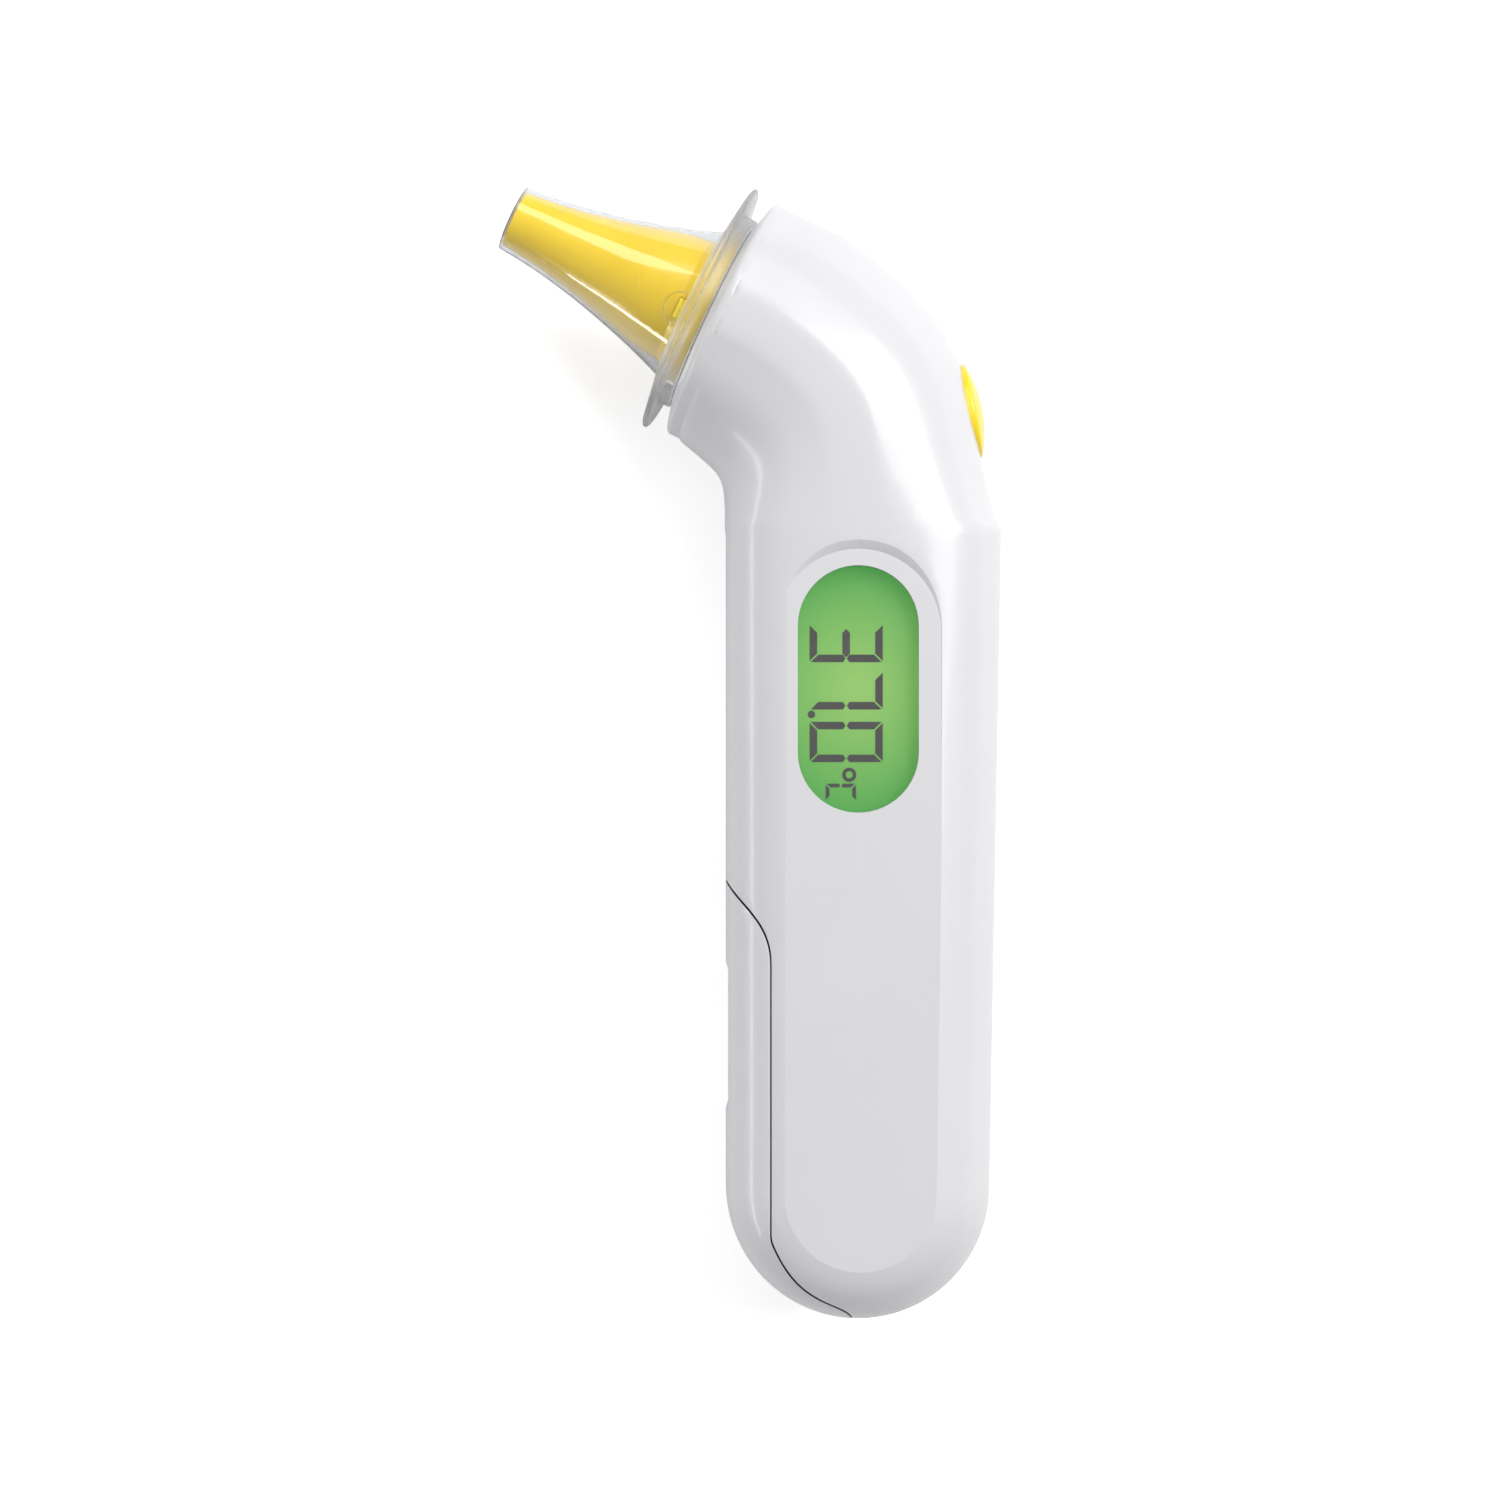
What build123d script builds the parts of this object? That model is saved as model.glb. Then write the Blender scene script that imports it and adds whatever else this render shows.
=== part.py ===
from build123d import *
import os
from math import cos, hypot, radians, sin, tan

# Digital ear thermometer with a clear lens filter on its probe, lying on its back face.
# The pieces are worked out in a design frame: X across the handle towards the start button,
# Y up the handle from the centre of its round end, Z out of the display, with Z = 0 on the
# plane where the two casing halves meet. The finished set is moved to its own origin at the end.

# ---- casing, mm
END_RADIUS = 17.7          # round end of the handle, and half its width there
BACK_TAPER = 1.6           # how far the back edge leans out by the top of the handle
HANDLE_LENGTH = 87.5       # centre of the round end to the crease below the start button
HALF_THICKNESS = 17.0      # handle and neck, from the meeting plane
FACET_HEIGHT = 16.2        # flat display face and back face, from the meeting plane
FACET_HALF_WIDTH = 10.8    # the flat's round top has this radius
FACET_TOP = 84.5           # top of the flat
FACET_MIDDLE = -0.3        # centre line of the flat and of the display
FACET_SLOPE = 55           # lean of the wall round the flat, degrees
SQUARENESS = 3.3           # exponent of the handle's rounded section; 2 is an ellipse
WALL = 1.8
PROFILE_STEPS = 6          # points along each quarter of a section

# ---- head: a disc-fronted end square to the probe's axis
PROBE_ANGLE = 154.2        # direction of the probe's axis, from X
HEAD_ORIGIN = (-21.1, 30.4)  # centre of the filter's flange; its Y counts from the crease
HEAD_RADIUS = 17.0
HEAD_PLANE = -5.0          # where the neck becomes round, along the probe's axis
FACE_RADIUS = 13.3         # where the crowned front face becomes flat
FACE_PLANE = -2.1
HEAD_SLOT = (1.2, 3.0, 1.7)  # moulded notch in the top of the head: depth, width, length
HEAD_SLOT_PLACE = -5.3
FACE_FALL = 14.5           # slope of the crown, degrees
SHOULDER_ROUND = 1.0
INNER_ROUND = 0.2
ROUND_BITE = 0.92          # share of the round that lies inside the drum
ROUND_MIDDLE = 30          # directions of the round's middle and end, degrees
ROUND_END = -20

# The neck's front edge and back edge, as offsets from those of the handle at the crease. Both
# go on to the rim of the head, and the sections between them turn from square to round.
NECK_FRONT = [(0, 0), (-0.2, 4.5), (-0.8, 7.4), (-3.0, 9.9)]
NECK_BACK = [(0, 0), (-3.1, 12.3), (-6.3, 24.7), (-12.5, 32.9), (-23.1, 41.0)]
NECK_STEPS = 8
NECK_ROUNDING = 3          # how fast the squareness fades

# ---- clearances
SLIDE_GAP = 0.25           # between a sliding piece and the casing
FIT_GAP = 0.1              # between a piece and the pocket that locates it
ROOM = 0.4                 # between inner pieces and the casing wall

# ---- battery door
DOOR_EDGE = 5.9            # width of the door's side, from the handle's front edge
DOOR_TOP = 40.7
DOOR_SHOULDER = 10.6       # height of the door's sloping top edge
DOOR_TOP_START = (0.55, -0.83)
DOOR_BEND = -5.4           # where the seam leaves the straight and follows the round end
DOOR_LOW = [(4.3, 212), (3.3, 233), (2.5, 252), (1.5, 264)]  # how far in from the end, and where
DOOR_TOE = -0.6
DOOR_TOE_END = (0.5, -0.85)
SEAM_GAP = 0.2
THUMB_MIDDLE = 19.8
THUMB_LENGTH = 20.4
THUMB_RAMP = 1.8
THUMB_DEPTH = 0.75
THUMB_HALF_WIDTH = 7.5
TONGUE_THICKNESS = 0.7
TONGUE_HALF_WIDTH = 4.0
TONGUE_REACH = 3.3         # how far the tongue goes in behind the casing

# ---- AAA cells and their tray
CELL_RADIUS = 5.25
CELL_LENGTH = 44.5
NUB_RADIUS = 1.9
NUB_LENGTH = 1.2
CELL_BOTTOM = -5.0
CELL_WALL_GAP = 1.45       # between a cell and the inside of the door
CELL_SPACING = 11.2
SPRING_ROOM = 2.3          # compressed battery spring
PLATE = 0.3                # sheet of the contacts
TAB_LAP = 3.0              # how far a contact's tab reaches in under the board
TAB_WIDTH = 2.0
TRAY_WALL = 1.2
TRAY_SIDE = 0.9
SPRING_RADIUS = 3.0
SPRING_WIRE = 0.25
SPRING_TURNS = 2.5

# ---- display stack, downwards from the flat
WINDOW_WIDTH = 15.8
WINDOW_LENGTH = 32.3
WINDOW_CENTRE = 66.2
WINDOW_LIP = 0.6           # flange of the window, glued behind the wall
WINDOW_LIP_THICKNESS = 0.8
WINDOW_RECESS = 0.1
GLASS_WIDTH = 18.0
GLASS_LENGTH = 37.0
GLASS_THICKNESS = 1.4
BACKLIGHT_THICKNESS = 2.4
BACKLIGHT_LENGTH = 33.6
FRAME_WALL = 1.5
FRAME_FLOOR = 1.0
STRIP_WIDTH = 1.6          # rubber contact strip between glass and board
STRIP_LENGTH = 16.0
LED_SIZE = (2.8, 1.2, 0.8)

# ---- circuit board and what is on it
BOARD_TOP = 4.4
BOARD_THICKNESS = 1.2
BOARD_BOTTOM_EDGE = 46.0
BOARD_MARGIN = 3.0         # from the outside of the handle
NECK_NOTCH = 11.7          # the board is cut back here for the screw in the neck
NOTCH_LOW = 4.5            # above the crease
NOTCH_TOP = 16.0
BOARD_HEAD_EDGE = -11.5    # the board's end, along the probe's axis
BOARD_HEAD_SPAN = (-4, 6)
SWITCH_LAP = 0.6
CHIP_SIZE = (9.0, 9.0, 1.2)
CHIP_Y = 71.2
CHIP_DIMPLE = 0.4
AMPLIFIER_SIZE = (5.0, 4.0, 1.4)
BUZZER_RADIUS = 4.5
BUZZER_HEIGHT = 3.0
BUZZER_Y = 55.0
CAPACITOR_SIZE = (1.6, 0.8, 0.8)
CAPACITOR_X = 7.0
CAPACITOR_SPACING = 3.0
AMPLIFIER_Y = 93.5

# ---- start button, in its own frame: X up the back of the neck, Y across, Z outwards
BUTTON_ORIGIN = (-4.2, 16.35)  # centre of its foot, counted from the crease
BUTTON_ANGLE = 17.2        # lean of the thumb face from the handle's direction
BUTTON_HALF_LENGTH = 6.45
BUTTON_HALF_WIDTH = 7.0
BUTTON_DOME = 17.0         # radius of the domed top
BUTTON_PEAK = 2.0
BUTTON_PEAK_SHIFT = 1.6    # the dome is highest towards the head
BUTTON_FLANGE = 0.9
BUTTON_FLANGE_TOP = -3.4
BUTTON_FLANGE_THICKNESS = 0.8
BUTTON_RIM_ROUND = 0.45
BUTTON_TRAVEL = 0.6
STEM_RADIUS = 1.5
STEM_OFFSET = 1.4          # the switch sits this far above the meeting plane
STEM_END = -6.0
PLUNGER_RADIUS = 1.1
PLUNGER_GAP = 0.08
PLUNGER_LENGTH = 1.9
SWITCH_SIZE = (3.8, 6.2, 3.6)  # along its travel, along the board's edge, height
SWITCH_FACE = -7.1

# ---- probe, in its own frame: Z along the probe's axis out of the head, Y out of the display
NOZZLE_TIP = 27.7
NOZZLE_FLANK = [(3.95, 27.7), (5.15, 19.0), (6.8, 11.7), (8.2, 6.6), (8.75, 2.4)]
NOZZLE_COLLAR_RADIUS = 10.3
NOZZLE_COLLAR_TOP = -0.4
NOZZLE_WALL = 1.2
NOZZLE_MOUTH = 2.5
NOZZLE_BORE = 7.4
NOZZLE_FLANGE_RADIUS = 13.4
NOZZLE_FLANGE_TOP = -5.2
NOZZLE_FLANGE_THICKNESS = 1.6
SEAL_RADIUS = 12.5
SEAL_FACE = -1.75
TUBE_OUTER = 2.3
TUBE_INNER = 1.9
TUBE_FRONT = 26.7
TUBE_BACK = 6.4
SLEEVE_RADIUS = 5.2
SLEEVE_NOSE_RADIUS = 3.1
SLEEVE_NOSE_END = 18.0
SLEEVE_SHOULDER = 9.5
SLEEVE_BACK = -8.0
SENSOR_CAN_RADIUS = 2.35
SENSOR_FOOT_RADIUS = 2.7
SENSOR_FOOT = 0.5
SENSOR_BACK = 3.0
PIN_RADIUS = 0.22
PIN_CIRCLE = 1.27
PIN_END = -3.6
PLUG_RADIUS = 4.0
PLUG_BACK = -2.6
PLUG_FRONT = 3.0
RIBBON_WIDTH = 5.0
RIBBON_THICKNESS = 0.2
RIBBON_STATIONS = (2.6, 8.1, 12.1, 16.6)   # behind the flange: its start, its two bends, its end
RIBBON_BEND = 1.5

# ---- filter detector, a small plunger through the near side of the nozzle
DETECTOR_TURN = -13.5      # round the probe's axis, from the display side
DETECTOR_PLACE = 1.9       # along the probe's axis
DETECTOR_WIDTH = 2.7
DETECTOR_LENGTH = 0.9
DETECTOR_TOP = 9.4
DETECTOR_FOOT_TOP = 7.0
DETECTOR_FOOT = 0.7
DETECTOR_LEDGE = 1.0
DETECTOR_GAP = 0.08
LEAF_THICKNESS = 0.15

# ---- lens filter
FILTER_TIP = 28.0
FILTER_FLANK = [(4.5, 28.0), (5.7, 18.9), (7.35, 11.7), (8.9, 6.4), (10.65, 1.5)]
FILTER_WALL = 0.26
FILTER_FLANGE_RADIUS = 17.6
FILTER_FLANGE = 0.75
SKIRT_RADIUS = 13.8
SKIRT_WALL = 0.8
SKIRT_END = -1.85
LATCH_POCKET = (1.3, 1.0)
LATCH_TURNS = (-150, 30)
FILM_THICKNESS = 0.1

# ---- screws
CASE_SCREW_LOW = (7.5, 6.0)        # by the round end
CASE_SCREW_HIGH = (9.7, 10.5)      # in the neck: from the front edge, and from the crease
CASE_SCREW_HEAD = 2.1
CASE_SCREW_HEAD_HEIGHT = 1.6
CASE_SCREW_SHANK = 1.1
CASE_SCREW_SEAT = -8.0
CASE_SCREW_END = 7.0
CASE_BOSS = 3.6
PILOT_BOSS = 2.6
BOARD_SCREW_INSET = 4.8
BOARD_SCREW_LOW = 52.0
BOARD_SCREW_HIGH = 82.0
BOARD_SCREW_HEAD = 1.8
BOARD_SCREW_HEAD_HEIGHT = 1.0
BOARD_SCREW_SHANK = 0.8
BOARD_SCREW_LENGTH = 4.0
BOARD_BOSS = 2.0
DRIVE_SLOT = (0.5, 0.5)            # width and depth of a screw's cross recess
THREAD_GAP = 0.02
PILOT_SPARE = 0.8                  # how much deeper a screw's hole is than the screw

# ---- values that follow from the sizes above
BACK_EDGE = END_RADIUS + BACK_TAPER
INNER_FACET = FACET_HEIGHT - WALL
CELL_X = -(END_RADIUS - WALL - CELL_WALL_GAP - CELL_RADIUS)
CELL_TOP = CELL_BOTTOM + CELL_LENGTH
TRAY_BACK = CELL_X + CELL_RADIUS + TRAY_WALL
TRAY_HALF_HEIGHT = CELL_SPACING / 2 + CELL_RADIUS + TRAY_SIDE
TRAY_FLOOR = CELL_BOTTOM - SPRING_ROOM - PLATE
TRAY_CEILING = CELL_TOP + SPRING_ROOM + PLATE
BOARD_UNDER = BOARD_TOP - BOARD_THICKNESS
GLASS_TOP = INNER_FACET - WINDOW_LIP_THICKNESS - ROOM
GLASS_UNDER = GLASS_TOP - GLASS_THICKNESS
BACKLIGHT_UNDER = GLASS_UNDER - BACKLIGHT_THICKNESS
STRIP_SHIFT = (STRIP_WIDTH - GLASS_LENGTH) / 2 + FIT_GAP   # from the window's centre
LED_SHIFT = GLASS_LENGTH / 2 - 2 * LED_SIZE[1]
BOARD_SCREW_X = END_RADIUS - BOARD_SCREW_INSET

PROBE = Plane(
    origin=(HEAD_ORIGIN[0], HANDLE_LENGTH + HEAD_ORIGIN[1], 0),
    x_dir=(sin(radians(-PROBE_ANGLE)), cos(radians(PROBE_ANGLE)), 0),
    z_dir=(cos(radians(PROBE_ANGLE)), sin(radians(PROBE_ANGLE)), 0),
)
BUTTON = Plane(
    origin=(BACK_EDGE + BUTTON_ORIGIN[0], HANDLE_LENGTH + BUTTON_ORIGIN[1], 0),
    x_dir=(-sin(radians(BUTTON_ANGLE)), cos(radians(BUTTON_ANGLE)), 0),
    z_dir=(cos(radians(BUTTON_ANGLE)), sin(radians(BUTTON_ANGLE)), 0),
)


# ---- small helpers
def block(low, high):
    """A box between two corners."""
    size = [b - a for a, b in zip(low, high)]
    middle = [(a + b) / 2 for a, b in zip(low, high)]
    return Pos(*middle) * Box(*size)


def post(x, y, radius, low, high):
    """A round bar along Z between two heights."""
    return Pos(x, y, (low + high) / 2) * Cylinder(radius, high - low)


def stadium(width, length, low, high):
    """An upright bar with a round-ended section, centred on the display."""
    plan = SlotOverall(length, width, rotation=90)
    return Pos(FACET_MIDDLE, WINDOW_CENTRE, low) * extrude(plan, high - low)


def turned(*edges):
    """A solid of revolution from a closed outline of radius and height."""
    return revolve(Plane.XZ * make_face(Curve() + list(edges)), Axis.Z)


def ring(inner, outer, low, high):
    """A plain ring or, with no inner radius, a disc."""
    return turned(Polyline((inner, low), (outer, low), (outer, high), (inner, high), close=True))


def one_solid(shape):
    """The shape as a single solid, with any crumb left by a cut dropped."""
    return shape.solids().sort_by(SortBy.VOLUME)[-1]


# ---- outer form of the casing, and the same form set inwards
def quarter_section(half_width, half_height, squareness, side, rise):
    """A quarter of a rounded section, from its widest point to its top; side and rise are 1 or -1."""
    points = []
    for step in range(PROFILE_STEPS + 1):
        angle = radians(90 * step / PROFILE_STEPS)
        across = (cos(angle) / half_width) ** squareness
        upward = (sin(angle) / half_height) ** squareness
        reach = (across + upward) ** (-1 / squareness)
        points.append((side * reach * cos(angle), rise * reach * sin(angle)))
    return Spline(*points, tangents=[(0, rise), (-side, 0)])


def section_face(half_width, half_height, squareness):
    quadrants = ((1, 1), (-1, 1), (-1, -1), (1, -1))
    quarters = [quarter_section(half_width, half_height, squareness, *signs) for signs in quadrants]
    return Face(Wire(quarters))


def section_between(front, back, squareness, inset):
    """The cross-section of handle or neck from a front edge to a back edge."""
    run = (back[0] - front[0], back[1] - front[1])
    plane = Plane(
        origin=((front[0] + back[0]) / 2, (front[1] + back[1]) / 2, 0),
        x_dir=(run[0], run[1], 0),
        z_dir=(-run[1], run[0], 0),
    )
    return plane * section_face(hypot(*run) / 2 - inset, HALF_THICKNESS - inset, squareness)


def round_end(inset):
    half_width = END_RADIUS - inset
    half_height = HALF_THICKNESS - inset
    quarters = [quarter_section(half_width, half_height, SQUARENESS, 1, rise) for rise in (-1, 1)]
    axis_line = Line((0, half_height), (0, -half_height))
    profile = Plane.XZ * Face(Wire(quarters + [axis_line]))
    return revolve(profile, Axis((0, 0, 0), (0, 0, -1)), 180)


def handle_bar(inset):
    low = section_between((-END_RADIUS, 0), (END_RADIUS, 0), SQUARENESS, inset)
    high = section_between((-END_RADIUS, HANDLE_LENGTH), (BACK_EDGE, HANDLE_LENGTH), SQUARENESS, inset)
    return loft([low, high])


def neck_edge(offsets, crease_x, rim_side):
    """One edge of the neck in side view, from the crease to the rim of the head."""
    rim = PROBE.from_local_coords((rim_side * HEAD_RADIUS, 0, HEAD_PLANE))
    points = [(crease_x + x, HANDLE_LENGTH + y) for x, y in offsets]
    return Spline(*points, (rim.X, rim.Y))


def neck(inset):
    front = neck_edge(NECK_FRONT, -END_RADIUS, 1)
    back = neck_edge(NECK_BACK, BACK_EDGE, -1)
    sections = []
    for step in range(NECK_STEPS + 1):
        along = step / NECK_STEPS
        squareness = 2 + (SQUARENESS - 2) * (1 - along) ** NECK_ROUNDING
        low, high = front @ along, back @ along
        sections.append(section_between((low.X, low.Y), (high.X, high.Y), squareness, inset))
    return loft(sections)


def head_front(inset):
    """The short drum that carries on from the neck, trimmed to the crowned front face."""
    radius = HEAD_RADIUS - inset
    face = FACE_PLANE - inset
    corner = max(SHOULDER_ROUND - inset, INNER_ROUND)
    fall = radians(FACE_FALL)
    centre_x = radius - ROUND_BITE * corner
    crown_edge = centre_x + corner * sin(fall)
    centre_y = face - (crown_edge - FACE_RADIUS) * tan(fall) - corner * cos(fall)
    arc = [
        (centre_x + corner * cos(radians(angle)), centre_y + corner * sin(radians(angle)))
        for angle in (90 - FACE_FALL, ROUND_MIDDLE, ROUND_END)
    ]
    outline = Curve() + [
        ThreePointArc(*arc),
        Polyline(
            arc[2], (2 * radius, arc[2][1]), (2 * radius, 2 * HEAD_PLANE), (0, 2 * HEAD_PLANE),
            (0, face), (FACE_RADIUS, face), arc[0],
        ),
    ]
    crown = revolve(Plane.XZ * make_face(outline), Axis.Z)
    bar = extrude(section_face(radius, radius, 2), face - HEAD_PLANE)
    drum = Pos(0, 0, HEAD_PLANE) * Rot(0, 0, 180) * bar
    return PROBE * (drum & crown)


def casing_form(inset):
    """The whole outer form, set inwards by the given amount."""
    arc_centre = FACET_TOP - FACET_HALF_WIDTH
    straight = arc_centre + 2 * END_RADIUS
    plan = Pos(0, -straight / 2) * Rectangle(2 * FACET_HALF_WIDTH, straight) + Circle(FACET_HALF_WIDTH)
    above_flat = extrude(plan, 2 * (HALF_THICKNESS - FACET_HEIGHT), taper=-FACET_SLOPE)
    place = Pos(FACET_MIDDLE, arc_centre, FACET_HEIGHT - inset)
    cutters = [place * above_flat, mirror(place * above_flat, Plane.XY)]
    handle = [piece(inset) - cutters for piece in (round_end, handle_bar)]
    return Part() + handle + [neck(inset), head_front(inset)]


# ---- battery door: everything in front of a seam line down the side of the handle
def seam_front(shift):
    """The space in front of the door's seam; shift moves the seam back to leave the gap."""
    edge = -(END_RADIUS - DOOR_EDGE)
    top = Spline(
        (-END_RADIUS, DOOR_TOP), (edge, DOOR_TOP - DOOR_SHOULDER), tangents=[DOOR_TOP_START, (0, -1)]
    )
    low_points = [
        ((END_RADIUS - inwards) * cos(radians(angle)), (END_RADIUS - inwards) * sin(radians(angle)))
        for inwards, angle in DOOR_LOW
    ]
    toe = (DOOR_TOE, -END_RADIUS)
    bottom = Spline((edge, DOOR_BEND), *low_points, toe, tangents=[(0, -1), DOOR_TOE_END])
    far = 3 * END_RADIUS
    outline = Curve() + [
        top,
        Line(top @ 1, bottom @ 0),
        bottom,
        Polyline(toe, (toe[0], -far), (-far, -far), (-far, DOOR_TOP), (-END_RADIUS, DOOR_TOP)),
    ]
    return Pos(shift, shift, -far) * extrude(make_face(outline), 2 * far)


def battery_door(shell):
    front = -END_RADIUS
    ramp = THUMB_LENGTH / 2 - THUMB_RAMP
    thumb = Polyline(
        (front - THUMB_DEPTH, THUMB_MIDDLE - THUMB_LENGTH / 2 - THUMB_RAMP),
        (front - THUMB_DEPTH, THUMB_MIDDLE + THUMB_LENGTH / 2 + THUMB_RAMP),
        (front + THUMB_DEPTH, THUMB_MIDDLE + ramp),
        (front + THUMB_DEPTH, THUMB_MIDDLE - ramp),
        close=True,
    )
    recess = Pos(0, 0, -THUMB_HALF_WIDTH) * extrude(make_face(thumb), 2 * THUMB_HALF_WIDTH)
    inside = front + WALL
    seam_height = DOOR_TOP - DOOR_SHOULDER / 2
    tongue_back = inside + SLIDE_GAP + TONGUE_THICKNESS
    root = block(
        (inside - WALL / 4, seam_height - 2 * TONGUE_REACH, -TONGUE_HALF_WIDTH),
        (tongue_back, seam_height, TONGUE_HALF_WIDTH),
    )
    tongue = block(
        (inside + SLIDE_GAP, seam_height - TONGUE_REACH, -TONGUE_HALF_WIDTH),
        (tongue_back, DOOR_TOP + TONGUE_REACH, TONGUE_HALF_WIDTH),
    )
    return one_solid((shell & seam_front(0)) - recess + root + tongue)


# ---- AAA cells, their tray and contacts
def battery(z, nub_up):
    """An AAA cell; the nub is its positive end."""
    body_low = CELL_BOTTOM if nub_up else CELL_BOTTOM + NUB_LENGTH
    body = Cylinder(CELL_RADIUS, CELL_LENGTH - NUB_LENGTH, align=(Align.CENTER, Align.CENTER, Align.MIN))
    body = fillet(body.edges().filter_by(GeomType.CIRCLE), NUB_LENGTH / 3)
    along = Rot(-90, 0, 0)
    nub_low = CELL_BOTTOM + 2 * NUB_LENGTH if nub_up else CELL_BOTTOM
    nub_span = CELL_TOP - nub_low if nub_up else CELL_LENGTH - 2 * NUB_LENGTH
    nub = Cylinder(NUB_RADIUS, nub_span, align=(Align.CENTER, Align.CENTER, Align.MIN))
    return Pos(CELL_X, body_low, z) * along * body + Pos(CELL_X, nub_low, z) * along * nub


def battery_tray():
    """A cradle open towards the door, with a wall at each end of the cells."""
    outside = block(
        (CELL_X - CELL_RADIUS / 2, TRAY_FLOOR - TRAY_WALL, -TRAY_HALF_HEIGHT),
        (TRAY_BACK, TRAY_CEILING + TRAY_WALL, TRAY_HALF_HEIGHT),
    )
    low_edges = outside.edges().filter_by(Axis.Z).sort_by(Axis.Y)[:2]
    toe = low_edges.sort_by(Axis.X)[0]
    tray = chamfer(toe, CELL_RADIUS / 2)
    corners = [edge for edge in tray.edges().filter_by(Axis.X) if edge.center().Y < 0]
    tray = chamfer(corners, TRAY_HALF_HEIGHT / 4)
    pocket_radius = CELL_RADIUS + FIT_GAP
    for z in (-CELL_SPACING / 2, CELL_SPACING / 2):
        length = TRAY_CEILING - TRAY_FLOOR
        cell = Rot(90, 0, 0) * Cylinder(pocket_radius, length)
        bore = Pos(CELL_X, (TRAY_CEILING + TRAY_FLOOR) / 2, z) * cell
        mouth = block(
            (CELL_X - CELL_RADIUS, TRAY_FLOOR, z - pocket_radius),
            (CELL_X, TRAY_CEILING, z + pocket_radius),
        )
        tray = tray - bore - mouth
    return one_solid(tray - contact_bridge() - contact_positive() - contact_negative())


def tray_ribs(side):
    """Two ribs that reach from the casing wall to the tray; side is 1 for the display half."""
    heights = sorted((side * TRAY_HALF_HEIGHT, side * (INNER_FACET + WALL / 2)))
    return [
        block((CELL_X, y - WALL / 2, heights[0]), (TRAY_BACK, y + WALL / 2, heights[1]))
        for y in (CELL_BOTTOM + CELL_LENGTH / 4, CELL_TOP - CELL_LENGTH / 4)
    ]


def bump(z, low, high):
    """The pressed dimple of a contact, along Y."""
    length = high - low
    return Pos(CELL_X, (low + high) / 2, z) * Rot(90, 0, 0) * Cylinder(NUB_RADIUS, length)


def contact_bridge():
    """Joins the two cells at the bottom: one side takes the spring, the other the nub."""
    half = CELL_SPACING / 2 + CELL_RADIUS - FIT_GAP
    plate = block(
        (CELL_X - NUB_RADIUS, TRAY_FLOOR, -half),
        (CELL_X + CELL_RADIUS / 2, TRAY_FLOOR + PLATE, half),
    )
    return plate + bump(-CELL_SPACING / 2, TRAY_FLOOR, CELL_BOTTOM)


def contact_positive():
    """Top contact of the upper cell, with a tab that reaches under the board."""
    z = CELL_SPACING / 2
    half = CELL_RADIUS - 2 * FIT_GAP
    plate = block(
        (CELL_X - NUB_RADIUS, TRAY_CEILING - PLATE, z - half), (CELL_X + NUB_RADIUS, TRAY_CEILING, z + half)
    )
    tab = block(
        (CELL_X - TAB_WIDTH / 2, TRAY_CEILING - PLATE, BOARD_UNDER - PLATE),
        (CELL_X + TAB_WIDTH / 2, BOARD_BOTTOM_EDGE + TAB_LAP, BOARD_UNDER),
    )
    return plate + bump(z, CELL_TOP, TRAY_CEILING) + tab


def contact_negative():
    """Top contact of the lower cell; its ear crosses the middle to reach under the board."""
    z = -CELL_SPACING / 2
    half = CELL_RADIUS - 2 * FIT_GAP
    ear_low = CELL_X + NUB_RADIUS + TAB_WIDTH / 2
    ear_high = ear_low + TAB_WIDTH
    plate = block(
        (CELL_X - NUB_RADIUS, TRAY_CEILING - PLATE, z - half), (ear_high, TRAY_CEILING, z + half)
    )
    ear = block((ear_low, TRAY_CEILING - PLATE, z), (ear_high, TRAY_CEILING, BOARD_UNDER))
    tab = block(
        (ear_low, TRAY_CEILING - PLATE, BOARD_UNDER - PLATE),
        (ear_high, BOARD_BOTTOM_EDGE + TAB_LAP, BOARD_UNDER),
    )
    return plate + ear + tab


def battery_spring(z, low, high):
    """A compressed coil spring along Y between a contact and a cell."""
    rise = high - low - 2 * SPRING_WIRE
    helix = Helix(rise / SPRING_TURNS, rise, SPRING_RADIUS)
    wire = sweep(Plane(helix @ 0, z_dir=helix % 0) * Circle(SPRING_WIRE), path=helix, is_frenet=True)
    return Pos(CELL_X, low + SPRING_WIRE, z) * Rot(-90, 0, 0) * wire


# ---- display stack
def display_window():
    face = stadium(
        WINDOW_WIDTH - 2 * FIT_GAP, WINDOW_LENGTH - 2 * FIT_GAP, INNER_FACET, FACET_HEIGHT - WINDOW_RECESS
    )
    lip_width = WINDOW_WIDTH + 2 * WINDOW_LIP
    lip_length = WINDOW_LENGTH + 2 * WINDOW_LIP
    return face + stadium(lip_width, lip_length, INNER_FACET - WINDOW_LIP_THICKNESS, INNER_FACET)


def display_block(width, length, low, high, shift=0):
    """A rectangular layer of the display stack, centred under the window."""
    middle = WINDOW_CENTRE + shift
    return block(
        (FACET_MIDDLE - width / 2, middle - length / 2, low),
        (FACET_MIDDLE + width / 2, middle + length / 2, high),
    )


def contact_strip():
    """The rubber strip that joins the glass to the board, at the glass's lower end."""
    return display_block(STRIP_LENGTH, STRIP_WIDTH, BOARD_TOP, GLASS_UNDER, STRIP_SHIFT)


def lcd_backlight():
    shift = (GLASS_LENGTH - BACKLIGHT_LENGTH) / 2
    return display_block(GLASS_WIDTH, BACKLIGHT_LENGTH, BACKLIGHT_UNDER, GLASS_UNDER, shift)


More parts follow.
